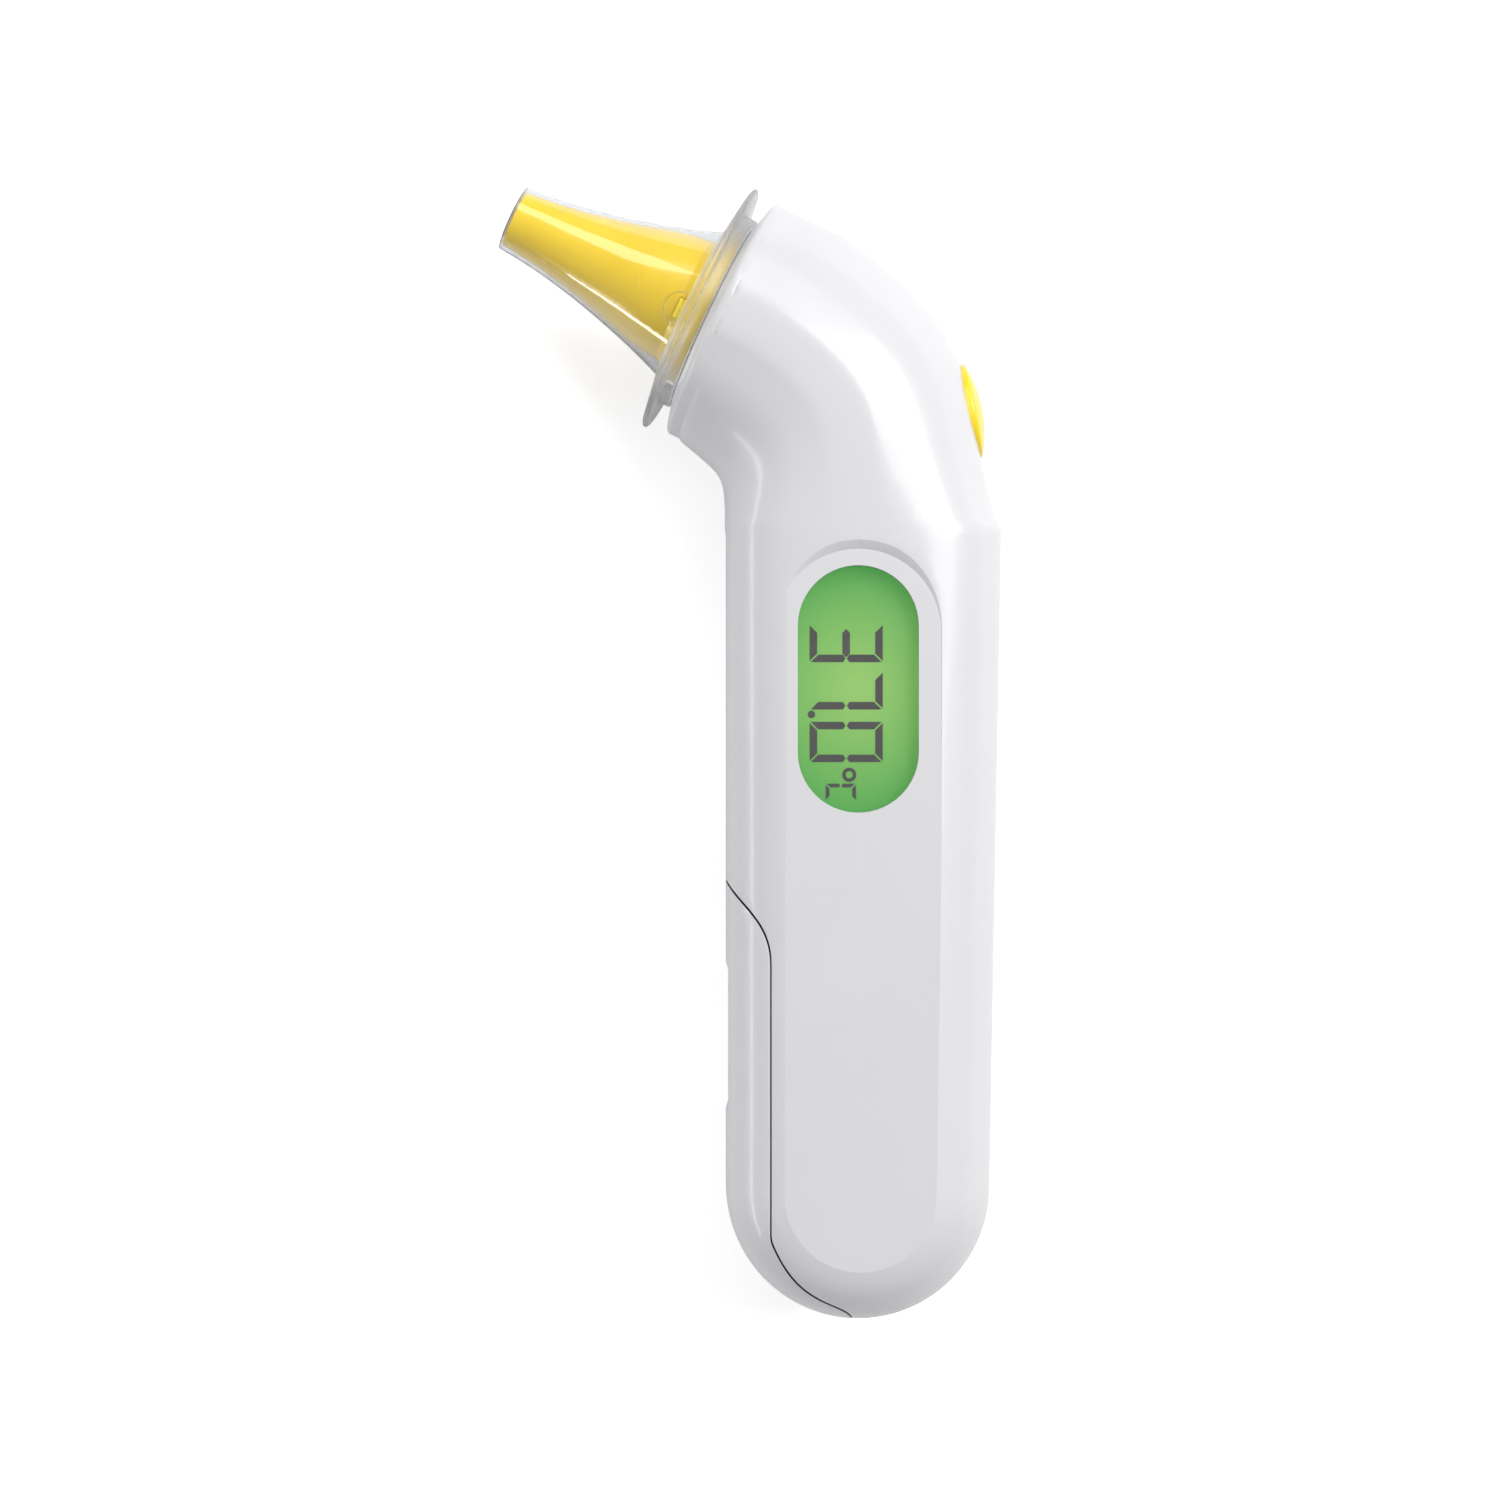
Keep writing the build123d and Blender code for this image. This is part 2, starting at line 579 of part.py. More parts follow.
def lcd_frame():
    """The frame that stands on the board and holds backlight, strip and glass."""
    width = GLASS_WIDTH + 2 * (FIT_GAP + FRAME_WALL)
    length = GLASS_LENGTH + 2 * (FIT_GAP + FRAME_WALL)
    frame = display_block(width, length, BOARD_TOP, GLASS_TOP)
    pocket = display_block(
        GLASS_WIDTH + 2 * FIT_GAP, GLASS_LENGTH + 2 * FIT_GAP, BACKLIGHT_UNDER, GLASS_TOP
    )
    legs_width = GLASS_WIDTH - 2 * FRAME_FLOOR
    below = display_block(legs_width, GLASS_LENGTH, BOARD_TOP, BACKLIGHT_UNDER - FRAME_FLOOR)
    slot = display_block(
        STRIP_LENGTH + 2 * FIT_GAP, STRIP_WIDTH + 2 * FIT_GAP, BOARD_TOP, GLASS_UNDER, STRIP_SHIFT
    )
    lamp = display_block(GLASS_WIDTH / 2, LED_SIZE[1], BOARD_TOP, BACKLIGHT_UNDER, LED_SHIFT)
    return frame - pocket - below - slot - lamp


def backlight_leds():
    """Two lamps on the board that shine up into the backlight."""
    lamp = Box(LED_SIZE[0], LED_SIZE[1] - FIT_GAP, LED_SIZE[2])
    return [
        Pos(FACET_MIDDLE + x, WINDOW_CENTRE + LED_SHIFT, BOARD_TOP + LED_SIZE[2] / 2) * lamp
        for x in (-GLASS_WIDTH / 6, GLASS_WIDTH / 6)
    ]


# ---- circuit board
def board_screw_places():
    return [(BOARD_SCREW_X, BOARD_SCREW_LOW), (-BOARD_SCREW_X, BOARD_SCREW_HIGH)]


def case_screw_places():
    high = (CASE_SCREW_HIGH[0] - END_RADIUS, HANDLE_LENGTH + CASE_SCREW_HIGH[1])
    return [CASE_SCREW_LOW, high]


def main_board():
    """The board fills the handle above the cells and follows the neck up to the probe."""
    left = BOARD_MARGIN - END_RADIUS
    right = END_RADIUS - BOARD_MARGIN
    crease = HANDLE_LENGTH
    neck_left = left + NECK_NOTCH
    switch_edge = [
        BUTTON.from_local_coords((x, 0, SWITCH_FACE + SWITCH_LAP))
        for x in (-1.5 * BUTTON_HALF_LENGTH, BUTTON_HALF_LENGTH)
    ]
    head_edge = [PROBE.from_local_coords((x, 0, BOARD_HEAD_EDGE)) for x in BOARD_HEAD_SPAN]
    outline = [
        (left, BOARD_BOTTOM_EDGE),
        (right, BOARD_BOTTOM_EDGE),
        (right, crease - BOARD_MARGIN / 2),
        *[(p.X, p.Y) for p in switch_edge],
        *[(p.X, p.Y) for p in head_edge],
        (neck_left, crease + NOTCH_TOP),
        (neck_left, crease + NOTCH_LOW),
        (left, crease),
    ]
    board = Pos(0, 0, BOARD_UNDER) * extrude(make_face(Polyline(*outline, close=True)), BOARD_THICKNESS)
    for x, y in board_screw_places():
        board -= post(x, y, BOARD_SCREW_SHANK + FIT_GAP, BOARD_UNDER, BOARD_TOP)
    return board


def hung_chip(x, y, size):
    """A part soldered to the underside of the board."""
    return Pos(x, y, BOARD_UNDER - size[2] / 2) * Box(*size)


def microcontroller():
    """The controller chip, with the dimple that marks its first leg."""
    face = BOARD_UNDER - CHIP_SIZE[2]
    dimple_x = -CHIP_SIZE[0] / 3
    dimple_y = CHIP_Y - CHIP_SIZE[1] / 3
    return hung_chip(0, CHIP_Y, CHIP_SIZE) - post(
        dimple_x, dimple_y, CHIP_DIMPLE, face, face + CHIP_DIMPLE / 2
    )


def capacitors():
    """A row of small capacitors beside the controller."""
    return [
        hung_chip(CAPACITOR_X, CHIP_Y + CAPACITOR_SPACING * step, CAPACITOR_SIZE) for step in (-1, 0, 1, 2)
    ]


def buzzer():
    face = BOARD_UNDER - BUZZER_HEIGHT
    sound_hole = post(0, BUZZER_Y, BUZZER_RADIUS / 4, face, face + BUZZER_HEIGHT / 2)
    return post(0, BUZZER_Y, BUZZER_RADIUS, face, BOARD_UNDER) - sound_hole


# ---- start button, its switch and the plunger between them
def oval(extra, low, high):
    """An oval bar square to the thumb face, wider than the button's outline by a given amount."""
    plan = Ellipse(BUTTON_HALF_LENGTH + extra, BUTTON_HALF_WIDTH + extra)
    return BUTTON * Pos(0, 0, low) * extrude(plan, high - low)


def start_button():
    cap = oval(0, BUTTON_FLANGE_TOP, 2 * BUTTON_PEAK)
    dome = BUTTON * Pos(BUTTON_PEAK_SHIFT, 0, BUTTON_PEAK - BUTTON_DOME) * Sphere(BUTTON_DOME)
    cap = one_solid(cap & dome)
    rim = cap.faces().filter_by(GeomType.SPHERE).sort_by(SortBy.AREA)[-1].edges()
    cap = fillet(rim, BUTTON_RIM_ROUND)
    flange = oval(BUTTON_FLANGE, BUTTON_FLANGE_TOP - BUTTON_FLANGE_THICKNESS, BUTTON_FLANGE_TOP)
    stem = BUTTON * Pos(0, STEM_OFFSET, (STEM_END + BUTTON_FLANGE_TOP) / 2) * Cylinder(
        STEM_RADIUS, BUTTON_FLANGE_TOP - STEM_END
    )
    return cap + flange + stem


def switch_plunger():
    middle = STEM_END - PLUNGER_LENGTH / 2
    return BUTTON * Pos(0, STEM_OFFSET, middle) * Cylinder(PLUNGER_RADIUS, PLUNGER_LENGTH)


def tact_switch():
    """A side-pressed switch on the underside of the board."""
    body = Pos(0, BOARD_UNDER - SWITCH_SIZE[2] / 2, SWITCH_FACE - SWITCH_SIZE[0] / 2) * Box(
        SWITCH_SIZE[1], SWITCH_SIZE[2], SWITCH_SIZE[0]
    )
    depth = STEM_END - PLUNGER_LENGTH - BUTTON_TRAVEL - PLUNGER_GAP
    bore = Cylinder(PLUNGER_RADIUS + PLUNGER_GAP, SWITCH_FACE - depth)
    return BUTTON * (body - Pos(0, STEM_OFFSET, (depth + SWITCH_FACE) / 2) * bore)


# ---- probe
def probe_nozzle():
    inner = [(radius - NOZZLE_WALL, height) for radius, height in NOZZLE_FLANK]
    flange_under = NOZZLE_FLANGE_TOP - NOZZLE_FLANGE_THICKNESS
    outline = [
        Spline(*NOZZLE_FLANK),
        Polyline(
            NOZZLE_FLANK[-1],
            (NOZZLE_COLLAR_RADIUS, NOZZLE_COLLAR_TOP),
            (NOZZLE_COLLAR_RADIUS, NOZZLE_FLANGE_TOP),
            (NOZZLE_FLANGE_RADIUS, NOZZLE_FLANGE_TOP),
            (NOZZLE_FLANGE_RADIUS, flange_under),
            (NOZZLE_BORE, flange_under),
            inner[-1],
        ),
        Spline(*reversed(inner)),
        Polyline(inner[0], (NOZZLE_MOUTH, NOZZLE_TIP), NOZZLE_FLANK[0]),
    ]
    slot = detector_bar(DETECTOR_GAP, 0, 2 * DETECTOR_TOP)
    return PROBE * turned(*outline) - slot


def nozzle_seal():
    return PROBE * ring(NOZZLE_COLLAR_RADIUS, SEAL_RADIUS, NOZZLE_FLANGE_TOP, SEAL_FACE)


def waveguide_tube():
    return PROBE * ring(TUBE_INNER, TUBE_OUTER, TUBE_BACK, TUBE_FRONT)


def sensor_sleeve():
    """Metal block that keeps sensor and tube at one temperature."""
    outline = Polyline(
        (TUBE_OUTER, SLEEVE_NOSE_END),
        (SLEEVE_NOSE_RADIUS, SLEEVE_NOSE_END),
        (SLEEVE_NOSE_RADIUS, SLEEVE_SHOULDER),
        (SLEEVE_RADIUS, SLEEVE_SHOULDER),
        (SLEEVE_RADIUS, SLEEVE_BACK),
        (PLUG_RADIUS, SLEEVE_BACK),
        (PLUG_RADIUS, PLUG_FRONT),
        (SENSOR_FOOT_RADIUS, PLUG_FRONT),
        (SENSOR_FOOT_RADIUS, PLUG_FRONT + SENSOR_FOOT),
        (SENSOR_CAN_RADIUS, PLUG_FRONT + SENSOR_FOOT),
        (SENSOR_CAN_RADIUS, TUBE_BACK),
        (TUBE_OUTER, TUBE_BACK),
        close=True,
    )
    return PROBE * turned(outline)


def sleeve_ring():
    """Spacer that centres the metal sleeve in the back of the nozzle."""
    flange_under = NOZZLE_FLANGE_TOP - NOZZLE_FLANGE_THICKNESS
    return PROBE * ring(SLEEVE_RADIUS, NOZZLE_BORE, flange_under, NOZZLE_FLANGE_TOP)


def pins(radius, low, high):
    """The four pins of the sensor between two heights."""
    pin = Pos(PIN_CIRCLE, 0, (low + high) / 2) * Cylinder(radius, high - low)
    return [Rot(0, 0, turn) * pin for turn in (45, 135, 225, 315)]


def thermopile_sensor():
    can = ring(0, SENSOR_CAN_RADIUS, SENSOR_BACK + SENSOR_FOOT, TUBE_BACK - FIT_GAP)
    foot = ring(0, SENSOR_FOOT_RADIUS, SENSOR_BACK, SENSOR_BACK + SENSOR_FOOT)
    sensor = can + foot
    for pin in pins(PIN_RADIUS, PIN_END, SENSOR_BACK):
        sensor += pin
    return PROBE * sensor


def sensor_plug():
    """Plug that holds the sensor forward; its pins pass through."""
    plug = ring(0, PLUG_RADIUS, PLUG_BACK, PLUG_FRONT)
    for pin in pins(PIN_RADIUS, PLUG_BACK, PLUG_FRONT):
        plug -= pin
    return PROBE * plug


def sensor_ribbon():
    """Flat cable from the sensor's pins to the underside of the board."""
    under = BOARD_UNDER - RIBBON_THICKNESS / 2
    start, bend, rise, end = RIBBON_STATIONS
    route = FilletPolyline((start, 0), (bend, 0), (rise, under), (end, under), radius=RIBBON_BEND)
    strip = trace(route, RIBBON_THICKNESS)
    side_plane = Plane(origin=PROBE.origin, x_dir=-PROBE.z_dir, z_dir=PROBE.x_dir)
    solid = side_plane * Pos(0, 0, -RIBBON_WIDTH / 2) * extrude(strip, RIBBON_WIDTH)
    for pin in pins(PIN_RADIUS, 2 * PIN_END, PLUG_BACK):
        solid -= PROBE * pin
    return solid


# ---- filter detector
def detector_bar(gap, low, high):
    """A flat bar through the nozzle's side, square to the probe's axis."""
    bar = Pos(0, (low + high) / 2, DETECTOR_PLACE) * Box(
        DETECTOR_WIDTH + 2 * gap, high - low, DETECTOR_LENGTH + 2 * gap
    )
    return PROBE * Rot(0, 0, DETECTOR_TURN) * bar


def filter_detector():
    foot_place = Pos(0, DETECTOR_FOOT_TOP - DETECTOR_FOOT / 2, DETECTOR_PLACE)
    foot = PROBE * Rot(0, 0, DETECTOR_TURN) * foot_place * Box(
        DETECTOR_WIDTH + DETECTOR_LEDGE, DETECTOR_FOOT, DETECTOR_LENGTH + DETECTOR_LEDGE
    )
    return detector_bar(0, DETECTOR_FOOT_TOP - DETECTOR_FOOT, DETECTOR_TOP) + foot


def detector_spring():
    """A bowed leaf between the metal sleeve and the detector's foot, which also makes the contact."""
    rise = DETECTOR_FOOT_TOP - DETECTOR_FOOT - SLEEVE_RADIUS - LEAF_THICKNESS
    half = DETECTOR_WIDTH
    low = SLEEVE_RADIUS + LEAF_THICKNESS / 2
    bow = ThreePointArc((-half, low), (0, low + rise), (half, low))
    leaf = extrude(trace(bow, LEAF_THICKNESS), DETECTOR_LENGTH / 2, both=True)
    return PROBE * Rot(0, 0, DETECTOR_TURN) * Pos(0, 0, DETECTOR_PLACE) * leaf


# ---- lens filter
def lens_filter():
    """A clear cup over the nozzle, with a wide flange to pull it off by and a short skirt."""
    inner = [(radius - FILTER_WALL, height) for radius, height in FILTER_FLANK]
    half_flange = FILTER_FLANGE / 2
    skirt_inner = SKIRT_RADIUS - SKIRT_WALL
    foot = FILTER_FLANK[-1][0] + FILTER_WALL
    outline = [
        Spline(*FILTER_FLANK),
        Polyline(
            FILTER_FLANK[-1],
            (FILTER_FLANGE_RADIUS - half_flange, half_flange),
            (FILTER_FLANGE_RADIUS, half_flange / 2),
            (FILTER_FLANGE_RADIUS, -half_flange / 2),
            (FILTER_FLANGE_RADIUS - half_flange, -half_flange),
            (SKIRT_RADIUS, -half_flange),
            (SKIRT_RADIUS, SKIRT_END),
            (skirt_inner, SKIRT_END),
            (skirt_inner, -half_flange),
            (foot, -half_flange),
            inner[-1],
        ),
        Spline(*reversed(inner)),
        Line(inner[0], FILTER_FLANK[0]),
    ]
    cup = turned(*outline)
    pocket = Pos(SKIRT_RADIUS, 0, (SKIRT_END - half_flange) / 2) * Box(3 * SKIRT_WALL, *LATCH_POCKET)
    for turn in LATCH_TURNS:
        cup -= Rot(0, 0, turn) * pocket
    return PROBE * cup


def lens_filter_film():
    return PROBE * ring(0, FILTER_FLANK[0][0], FILTER_TIP, FILTER_TIP + FILM_THICKNESS)


# ---- screws
def case_screw(x, y):
    head = post(x, y, CASE_SCREW_HEAD, CASE_SCREW_SEAT - CASE_SCREW_HEAD_HEIGHT, CASE_SCREW_SEAT)
    shank = post(x, y, CASE_SCREW_SHANK, CASE_SCREW_SEAT, CASE_SCREW_END)
    recess = cross_recess(x, y, CASE_SCREW_SEAT - CASE_SCREW_HEAD_HEIGHT, CASE_SCREW_HEAD)
    return head + shank - recess


def board_screw(x, y):
    head = post(x, y, BOARD_SCREW_HEAD, BOARD_UNDER - BOARD_SCREW_HEAD_HEIGHT, BOARD_UNDER)
    shank = post(x, y, BOARD_SCREW_SHANK, BOARD_UNDER, BOARD_UNDER + BOARD_SCREW_LENGTH)
    recess = cross_recess(x, y, BOARD_UNDER - BOARD_SCREW_HEAD_HEIGHT, BOARD_SCREW_HEAD)
    return head + shank - recess


def cross_recess(x, y, face, radius):
    """The cross cut into a screw's head, seen from below."""
    width, depth = DRIVE_SLOT
    reach = 1.2 * radius
    bars = [Box(reach, width, 2 * depth), Box(width, reach, 2 * depth)]
    return [Pos(x, y, face) * bar for bar in bars]


def case_boss_back(x, y):
    """Back half of a screw boss: a solid post, later drilled for the screw."""
    return post(x, y, CASE_BOSS, WALL / 2 - INNER_FACET, 0)


def case_boss_front(x, y):
    return post(x, y, PILOT_BOSS, 0, INNER_FACET - WALL / 2)


# ---- the two casing halves
def half_space(side):
    """Room for one half of the casing; side is 1 for the display half and -1 for the back half."""
    reach = 3 * HANDLE_LENGTH
    return Pos(0, 0, side * HALF_THICKNESS) * Box(reach, reach, 2 * HALF_THICKNESS)


def display_side(casing):
    half = one_solid(casing & half_space(1))
    half += tray_ribs(1)
    for x, y in case_screw_places():
        half += case_boss_front(x, y)
        half -= post(x, y, CASE_SCREW_SHANK + THREAD_GAP, 0, CASE_SCREW_END + PILOT_SPARE)
    for x, y in board_screw_places():
        half += post(x, y, BOARD_BOSS, BOARD_TOP, INNER_FACET - WALL)
        pilot_end = BOARD_UNDER + BOARD_SCREW_LENGTH + PILOT_SPARE
        half -= post(x, y, BOARD_SCREW_SHANK + THREAD_GAP, BOARD_TOP, pilot_end)
    half -= stadium(WINDOW_WIDTH, WINDOW_LENGTH, INNER_FACET - WALL, FACET_HEIGHT + WALL)
    return one_solid(half)


def back_side(casing):
    half = one_solid(casing & half_space(-1))
    half += tray_ribs(-1)
    for x, y in case_screw_places():
        half += case_boss_back(x, y)
        half -= post(x, y, CASE_SCREW_SHANK + FIT_GAP, CASE_SCREW_SEAT, 0)
        half -= post(x, y, CASE_SCREW_HEAD + SLIDE_GAP, -2 * HALF_THICKNESS, CASE_SCREW_SEAT)
    return one_solid(half)


def casing_openings():
    """What is cut through the casing: the probe's seat, the button's opening and a notch."""
    probe_seat = PROBE * ring(0, SEAL_RADIUS, 2 * HEAD_PLANE, -FACE_PLANE)
    button_hole = oval(SLIDE_GAP, 2 * BUTTON_FLANGE_TOP, 2 * BUTTON_PEAK)
    notch = PROBE * Pos(-HEAD_RADIUS, 0, HEAD_SLOT_PLACE) * Box(*HEAD_SLOT)
    return [probe_seat, button_hole, notch]


def build():
    """All pieces by name, in the design frame."""
    outside = casing_form(0)
    shell = outside - casing_form(WALL) - casing_openings()
    casing = shell - seam_front(SEAM_GAP)
    upper = CELL_SPACING / 2
    return {
        "housing_display_side": display_side(casing),
        "housing_back_side": back_side(casing),
        "battery_door": battery_door(shell),
        "battery_tray": battery_tray(),
        "battery_upper": battery(upper, True),
        "battery_lower": battery(-upper, False),
        "contact_bridge": contact_bridge(),
        "contact_positive": contact_positive(),
        "contact_negative": contact_negative(),
        "battery_spring_bottom": battery_spring(upper, TRAY_FLOOR + PLATE, CELL_BOTTOM),
        "battery_spring_top": battery_spring(-upper, CELL_TOP, TRAY_CEILING - PLATE),
        "display_window": display_window(),
        "lcd_glass": display_block(GLASS_WIDTH, GLASS_LENGTH, GLASS_UNDER, GLASS_TOP),
        "lcd_backlight": lcd_backlight(),
        "lcd_frame": lcd_frame(),
        "lcd_contact_strip": contact_strip(),
        "backlight_leds": backlight_leds(),
        "main_board": main_board(),
        "microcontroller": microcontroller(),
        "sensor_amplifier": hung_chip(0, AMPLIFIER_Y, AMPLIFIER_SIZE),
        "capacitors": capacitors(),
        "buzzer": buzzer(),
        "start_button": start_button(),
        "switch_plunger": switch_plunger(),
        "tact_switch": tact_switch(),
        "probe_nozzle": probe_nozzle(),
        "nozzle_seal": nozzle_seal(),
        "waveguide_tube": waveguide_tube(),
        "sensor_sleeve": sensor_sleeve(),
        "sleeve_ring": sleeve_ring(),
        "thermopile_sensor": thermopile_sensor(),
        "sensor_plug": sensor_plug(),
        "sensor_ribbon": sensor_ribbon(),
        "filter_detector": filter_detector(),
        "detector_spring": detector_spring(),
        "lens_filter": lens_filter(),
        "lens_filter_film": lens_filter_film(),
        "housing_screws": [case_screw(x, y) for x, y in case_screw_places()],
        "board_screws": [board_screw(x, y) for x, y in board_screw_places()],
    }


def gathered(piece):
    """A piece, or a group of like pieces, as one compound of solids."""
    parts = piece if isinstance(piece, list) else [piece]
    return Compound([solid for part in parts for solid in part.solids()])


def write_parts():
    pieces = {name: gathered(piece) for name, piece in build().items()}
    box = Compound(list(pieces.values())).bounding_box()
    to_origin = Pos(-box.center().X, -box.center().Y, -box.min.Z)
    os.makedirs("parts", exist_ok=True)
    for name, piece in pieces.items():
        export_step(to_origin * piece, f"parts/{name}.step")


write_parts()
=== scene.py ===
# %% [markdown]
# # A digital ear thermometer, finished and lit
# The pieces of the thermometer come from its engineering model, each already in its real place:
# the two white casing halves, the yellow probe nozzle under a clear lens filter, the display, the
# battery door and everything inside. This lesson gives every piece the finish of its material,
# adds the thin things that the model has no need of, such as the dark shapes in the display, and
# then sets the studio light. Lengths are metres and the thermometer lies on its back at height 0.

# %% Load the engineering model
from math import cos, pi, radians, sin

import bmesh
import bpy
from mathutils import Matrix, Vector


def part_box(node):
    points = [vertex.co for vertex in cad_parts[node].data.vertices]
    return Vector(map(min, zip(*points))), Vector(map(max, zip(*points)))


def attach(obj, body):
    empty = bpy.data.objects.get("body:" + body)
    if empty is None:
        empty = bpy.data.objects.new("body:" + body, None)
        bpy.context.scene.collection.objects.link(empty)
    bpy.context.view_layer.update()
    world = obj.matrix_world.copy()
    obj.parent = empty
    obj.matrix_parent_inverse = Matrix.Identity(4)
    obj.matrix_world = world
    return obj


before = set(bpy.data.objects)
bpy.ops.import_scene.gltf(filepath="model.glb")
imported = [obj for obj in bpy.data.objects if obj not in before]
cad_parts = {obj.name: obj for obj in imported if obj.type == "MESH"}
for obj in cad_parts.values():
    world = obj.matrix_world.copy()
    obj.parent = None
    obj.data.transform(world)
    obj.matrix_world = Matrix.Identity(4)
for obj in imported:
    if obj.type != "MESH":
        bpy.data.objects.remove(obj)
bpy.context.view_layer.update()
MM = 0.001

# %% [markdown]
# ## Edges
# A moulded casing has no knife edges: the steel mould leaves a tiny round on each, and where two
# halves meet, their two rounds make the fine dark line that one sees as the seam. We could model
# each round, but a Bevel modifier that only acts on sharp corners does the same and leaves the
# engineering mesh as it is. A Weld modifier first joins the mesh's loose faces, so that Bevel
# finds their shared edges.

# %% Rounded corners on the moulded pieces
def soften(name, width, angle=35):
    """Rounds the corners of a node that are sharper than the angle by the width in millimetres."""
    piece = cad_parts[name]
    weld = piece.modifiers.new("join faces", "WELD")
    weld.merge_threshold = 0.002 * MM
    bevel = piece.modifiers.new("mould rounds", "BEVEL")
    bevel.width = width * MM
    bevel.segments = 2
    bevel.limit_method = "ANGLE"
    bevel.angle_limit = radians(angle)
    bevel.use_clamp_overlap = True


for name, width in {
    "housing_display_side": 0.16,
    "housing_back_side": 0.16,
    "battery_door": 0.16,
    "start_button": 0.12,
    "nozzle_seal": 0.1,
}.items():
    soften(name, width)
print("rounded:", [o.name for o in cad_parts.values() if o.modifiers])

# %% [markdown]
# ## Colours
# Paint makers and screens name colours on a scale that suits the eye, while the renderer works
# with amounts of light. One small function turns the first into the second, so that every colour
# below can be written as the familiar three numbers up to 255.

# %% Colour helper
def colour(red, green, blue, alpha=1.0):
    """A linear colour from its screen values, 0 to 255."""
    channels = []
    for value in (red, green, blue):
        share = value / 255
        channels.append(share / 12.92 if share <= 0.04045 else ((share + 0.055) / 1.055) ** 2.4)
    return (*channels, alpha)


print("mid grey is", [round(c, 3) for c in colour(128, 128, 128)])

# %% [markdown]
# ## Shared effects
# Three effects return on many pieces: the fine grain that a mould leaves, the slight unevenness
# of a colour in thick and thin places, and the small scuffs of handling. Each is a node group
# with named sockets, built once, and each material gives it its own values. They use the piece's
# own object coordinates, in metres, so the grain stays put when a piece moves.

# %% Node helpers
def node(tree, kind, **settings):
    """A node in a tree with its properties, and its sockets where the name is one, set."""
    made = tree.nodes.new(kind)
    for key, value in settings.items():
        if hasattr(made, key):
            setattr(made, key, value)
        else:
            made.inputs[key.replace("_", " ")].default_value = value
    return made


def new_group(name, inputs, outputs):
    """An empty shader node group with named sockets; each is (name, kind, value)."""
    group = bpy.data.node_groups.new(name, "ShaderNodeTree")
    for label, kind, value in inputs:
        socket = group.interface.new_socket(label, in_out="INPUT", socket_type=kind)
        socket.default_value = value
    for label, kind in outputs:
        group.interface.new_socket(label, in_out="OUTPUT", socket_type=kind)
    start = group.nodes.new("NodeGroupInput")
    end = group.nodes.new("NodeGroupOutput")
    return group, start, end


def maths(tree, operation, first, second):
    """A Math node; each input is a number or a socket."""
    made = tree.nodes.new("ShaderNodeMath")
    made.operation = operation
    for slot, value in zip(made.inputs, (first, second)):
        if isinstance(value, (int, float)):
            slot.default_value = value
        else:
            tree.links.new(value, slot)
    return made.outputs[0]


# %% [markdown]
# Mould grain is two noises: a very fine one that is felt rather than seen, which goes to the
# bump, and a broader one that makes some places a little duller than others.

# %% Group: mould grain
FLOAT, COLOUR = "NodeSocketFloat", "NodeSocketColor"


def build_mould_grain():
    inputs = [("Grain Scale", FLOAT, 4000.0), ("Roughness", FLOAT, 0.3), ("Unevenness", FLOAT, 0.1)]
    group, start, end = new_group("mould grain", inputs, [("Roughness", FLOAT), ("Height", FLOAT)])
    place = group.nodes.new("ShaderNodeTexCoord")
    fine = node(group, "ShaderNodeTexNoise", Detail=2.0, Roughness=0.6)
    broad = node(group, "ShaderNodeTexNoise", Scale=160.0, Detail=3.0)
    group.links.new(place.outputs["Object"], fine.inputs["Vector"])
    group.links.new(place.outputs["Object"], broad.inputs["Vector"])
    group.links.new(start.outputs["Grain Scale"], fine.inputs["Scale"])
    swing = maths(group, "SUBTRACT", broad.outputs[0], 0.5)
    change = maths(group, "MULTIPLY", swing, start.outputs["Unevenness"])
    group.links.new(maths(group, "ADD", change, start.outputs["Roughness"]), end.inputs["Roughness"])
    group.links.new(fine.outputs[0], end.inputs["Height"])
    return group


mould_grain = build_mould_grain()
print("mould grain:", [s.name for s in mould_grain.interface.items_tree])

# %% [markdown]
# The colour of a moulding drifts by a percent or two over its surface. A broad noise picks
# between the colour and a slightly deeper one.

# %% Group: colour drift
def build_colour_drift():
    inputs = [
        ("Colour", COLOUR, (1, 1, 1, 1)),
        ("Deeper", COLOUR, (0.9, 0.9, 0.9, 1)),
        ("Scale", FLOAT, 60.0),
    ]
    group, start, end = new_group("colour drift", inputs, [("Colour", COLOUR)])
    place = group.nodes.new("ShaderNodeTexCoord")
    cloud = node(group, "ShaderNodeTexNoise", Detail=4.0, Roughness=0.55)
    mix = node(group, "ShaderNodeMix", data_type="RGBA")
    group.links.new(place.outputs["Object"], cloud.inputs["Vector"])
    group.links.new(start.outputs["Scale"], cloud.inputs["Scale"])
    group.links.new(cloud.outputs[0], mix.inputs[0])
    group.links.new(start.outputs["Colour"], mix.inputs[6])
    group.links.new(start.outputs["Deeper"], mix.inputs[7])
    group.links.new(mix.outputs[2], end.inputs["Colour"])
    return group


colour_drift = build_colour_drift()
print("colour drift:", [s.name for s in colour_drift.interface.items_tree])

# %% [markdown]
# Scuffs are hair-fine lines where the gloss is broken. A noise that is stretched a great deal
# along one direction gives lines, and only its highest crests are kept.

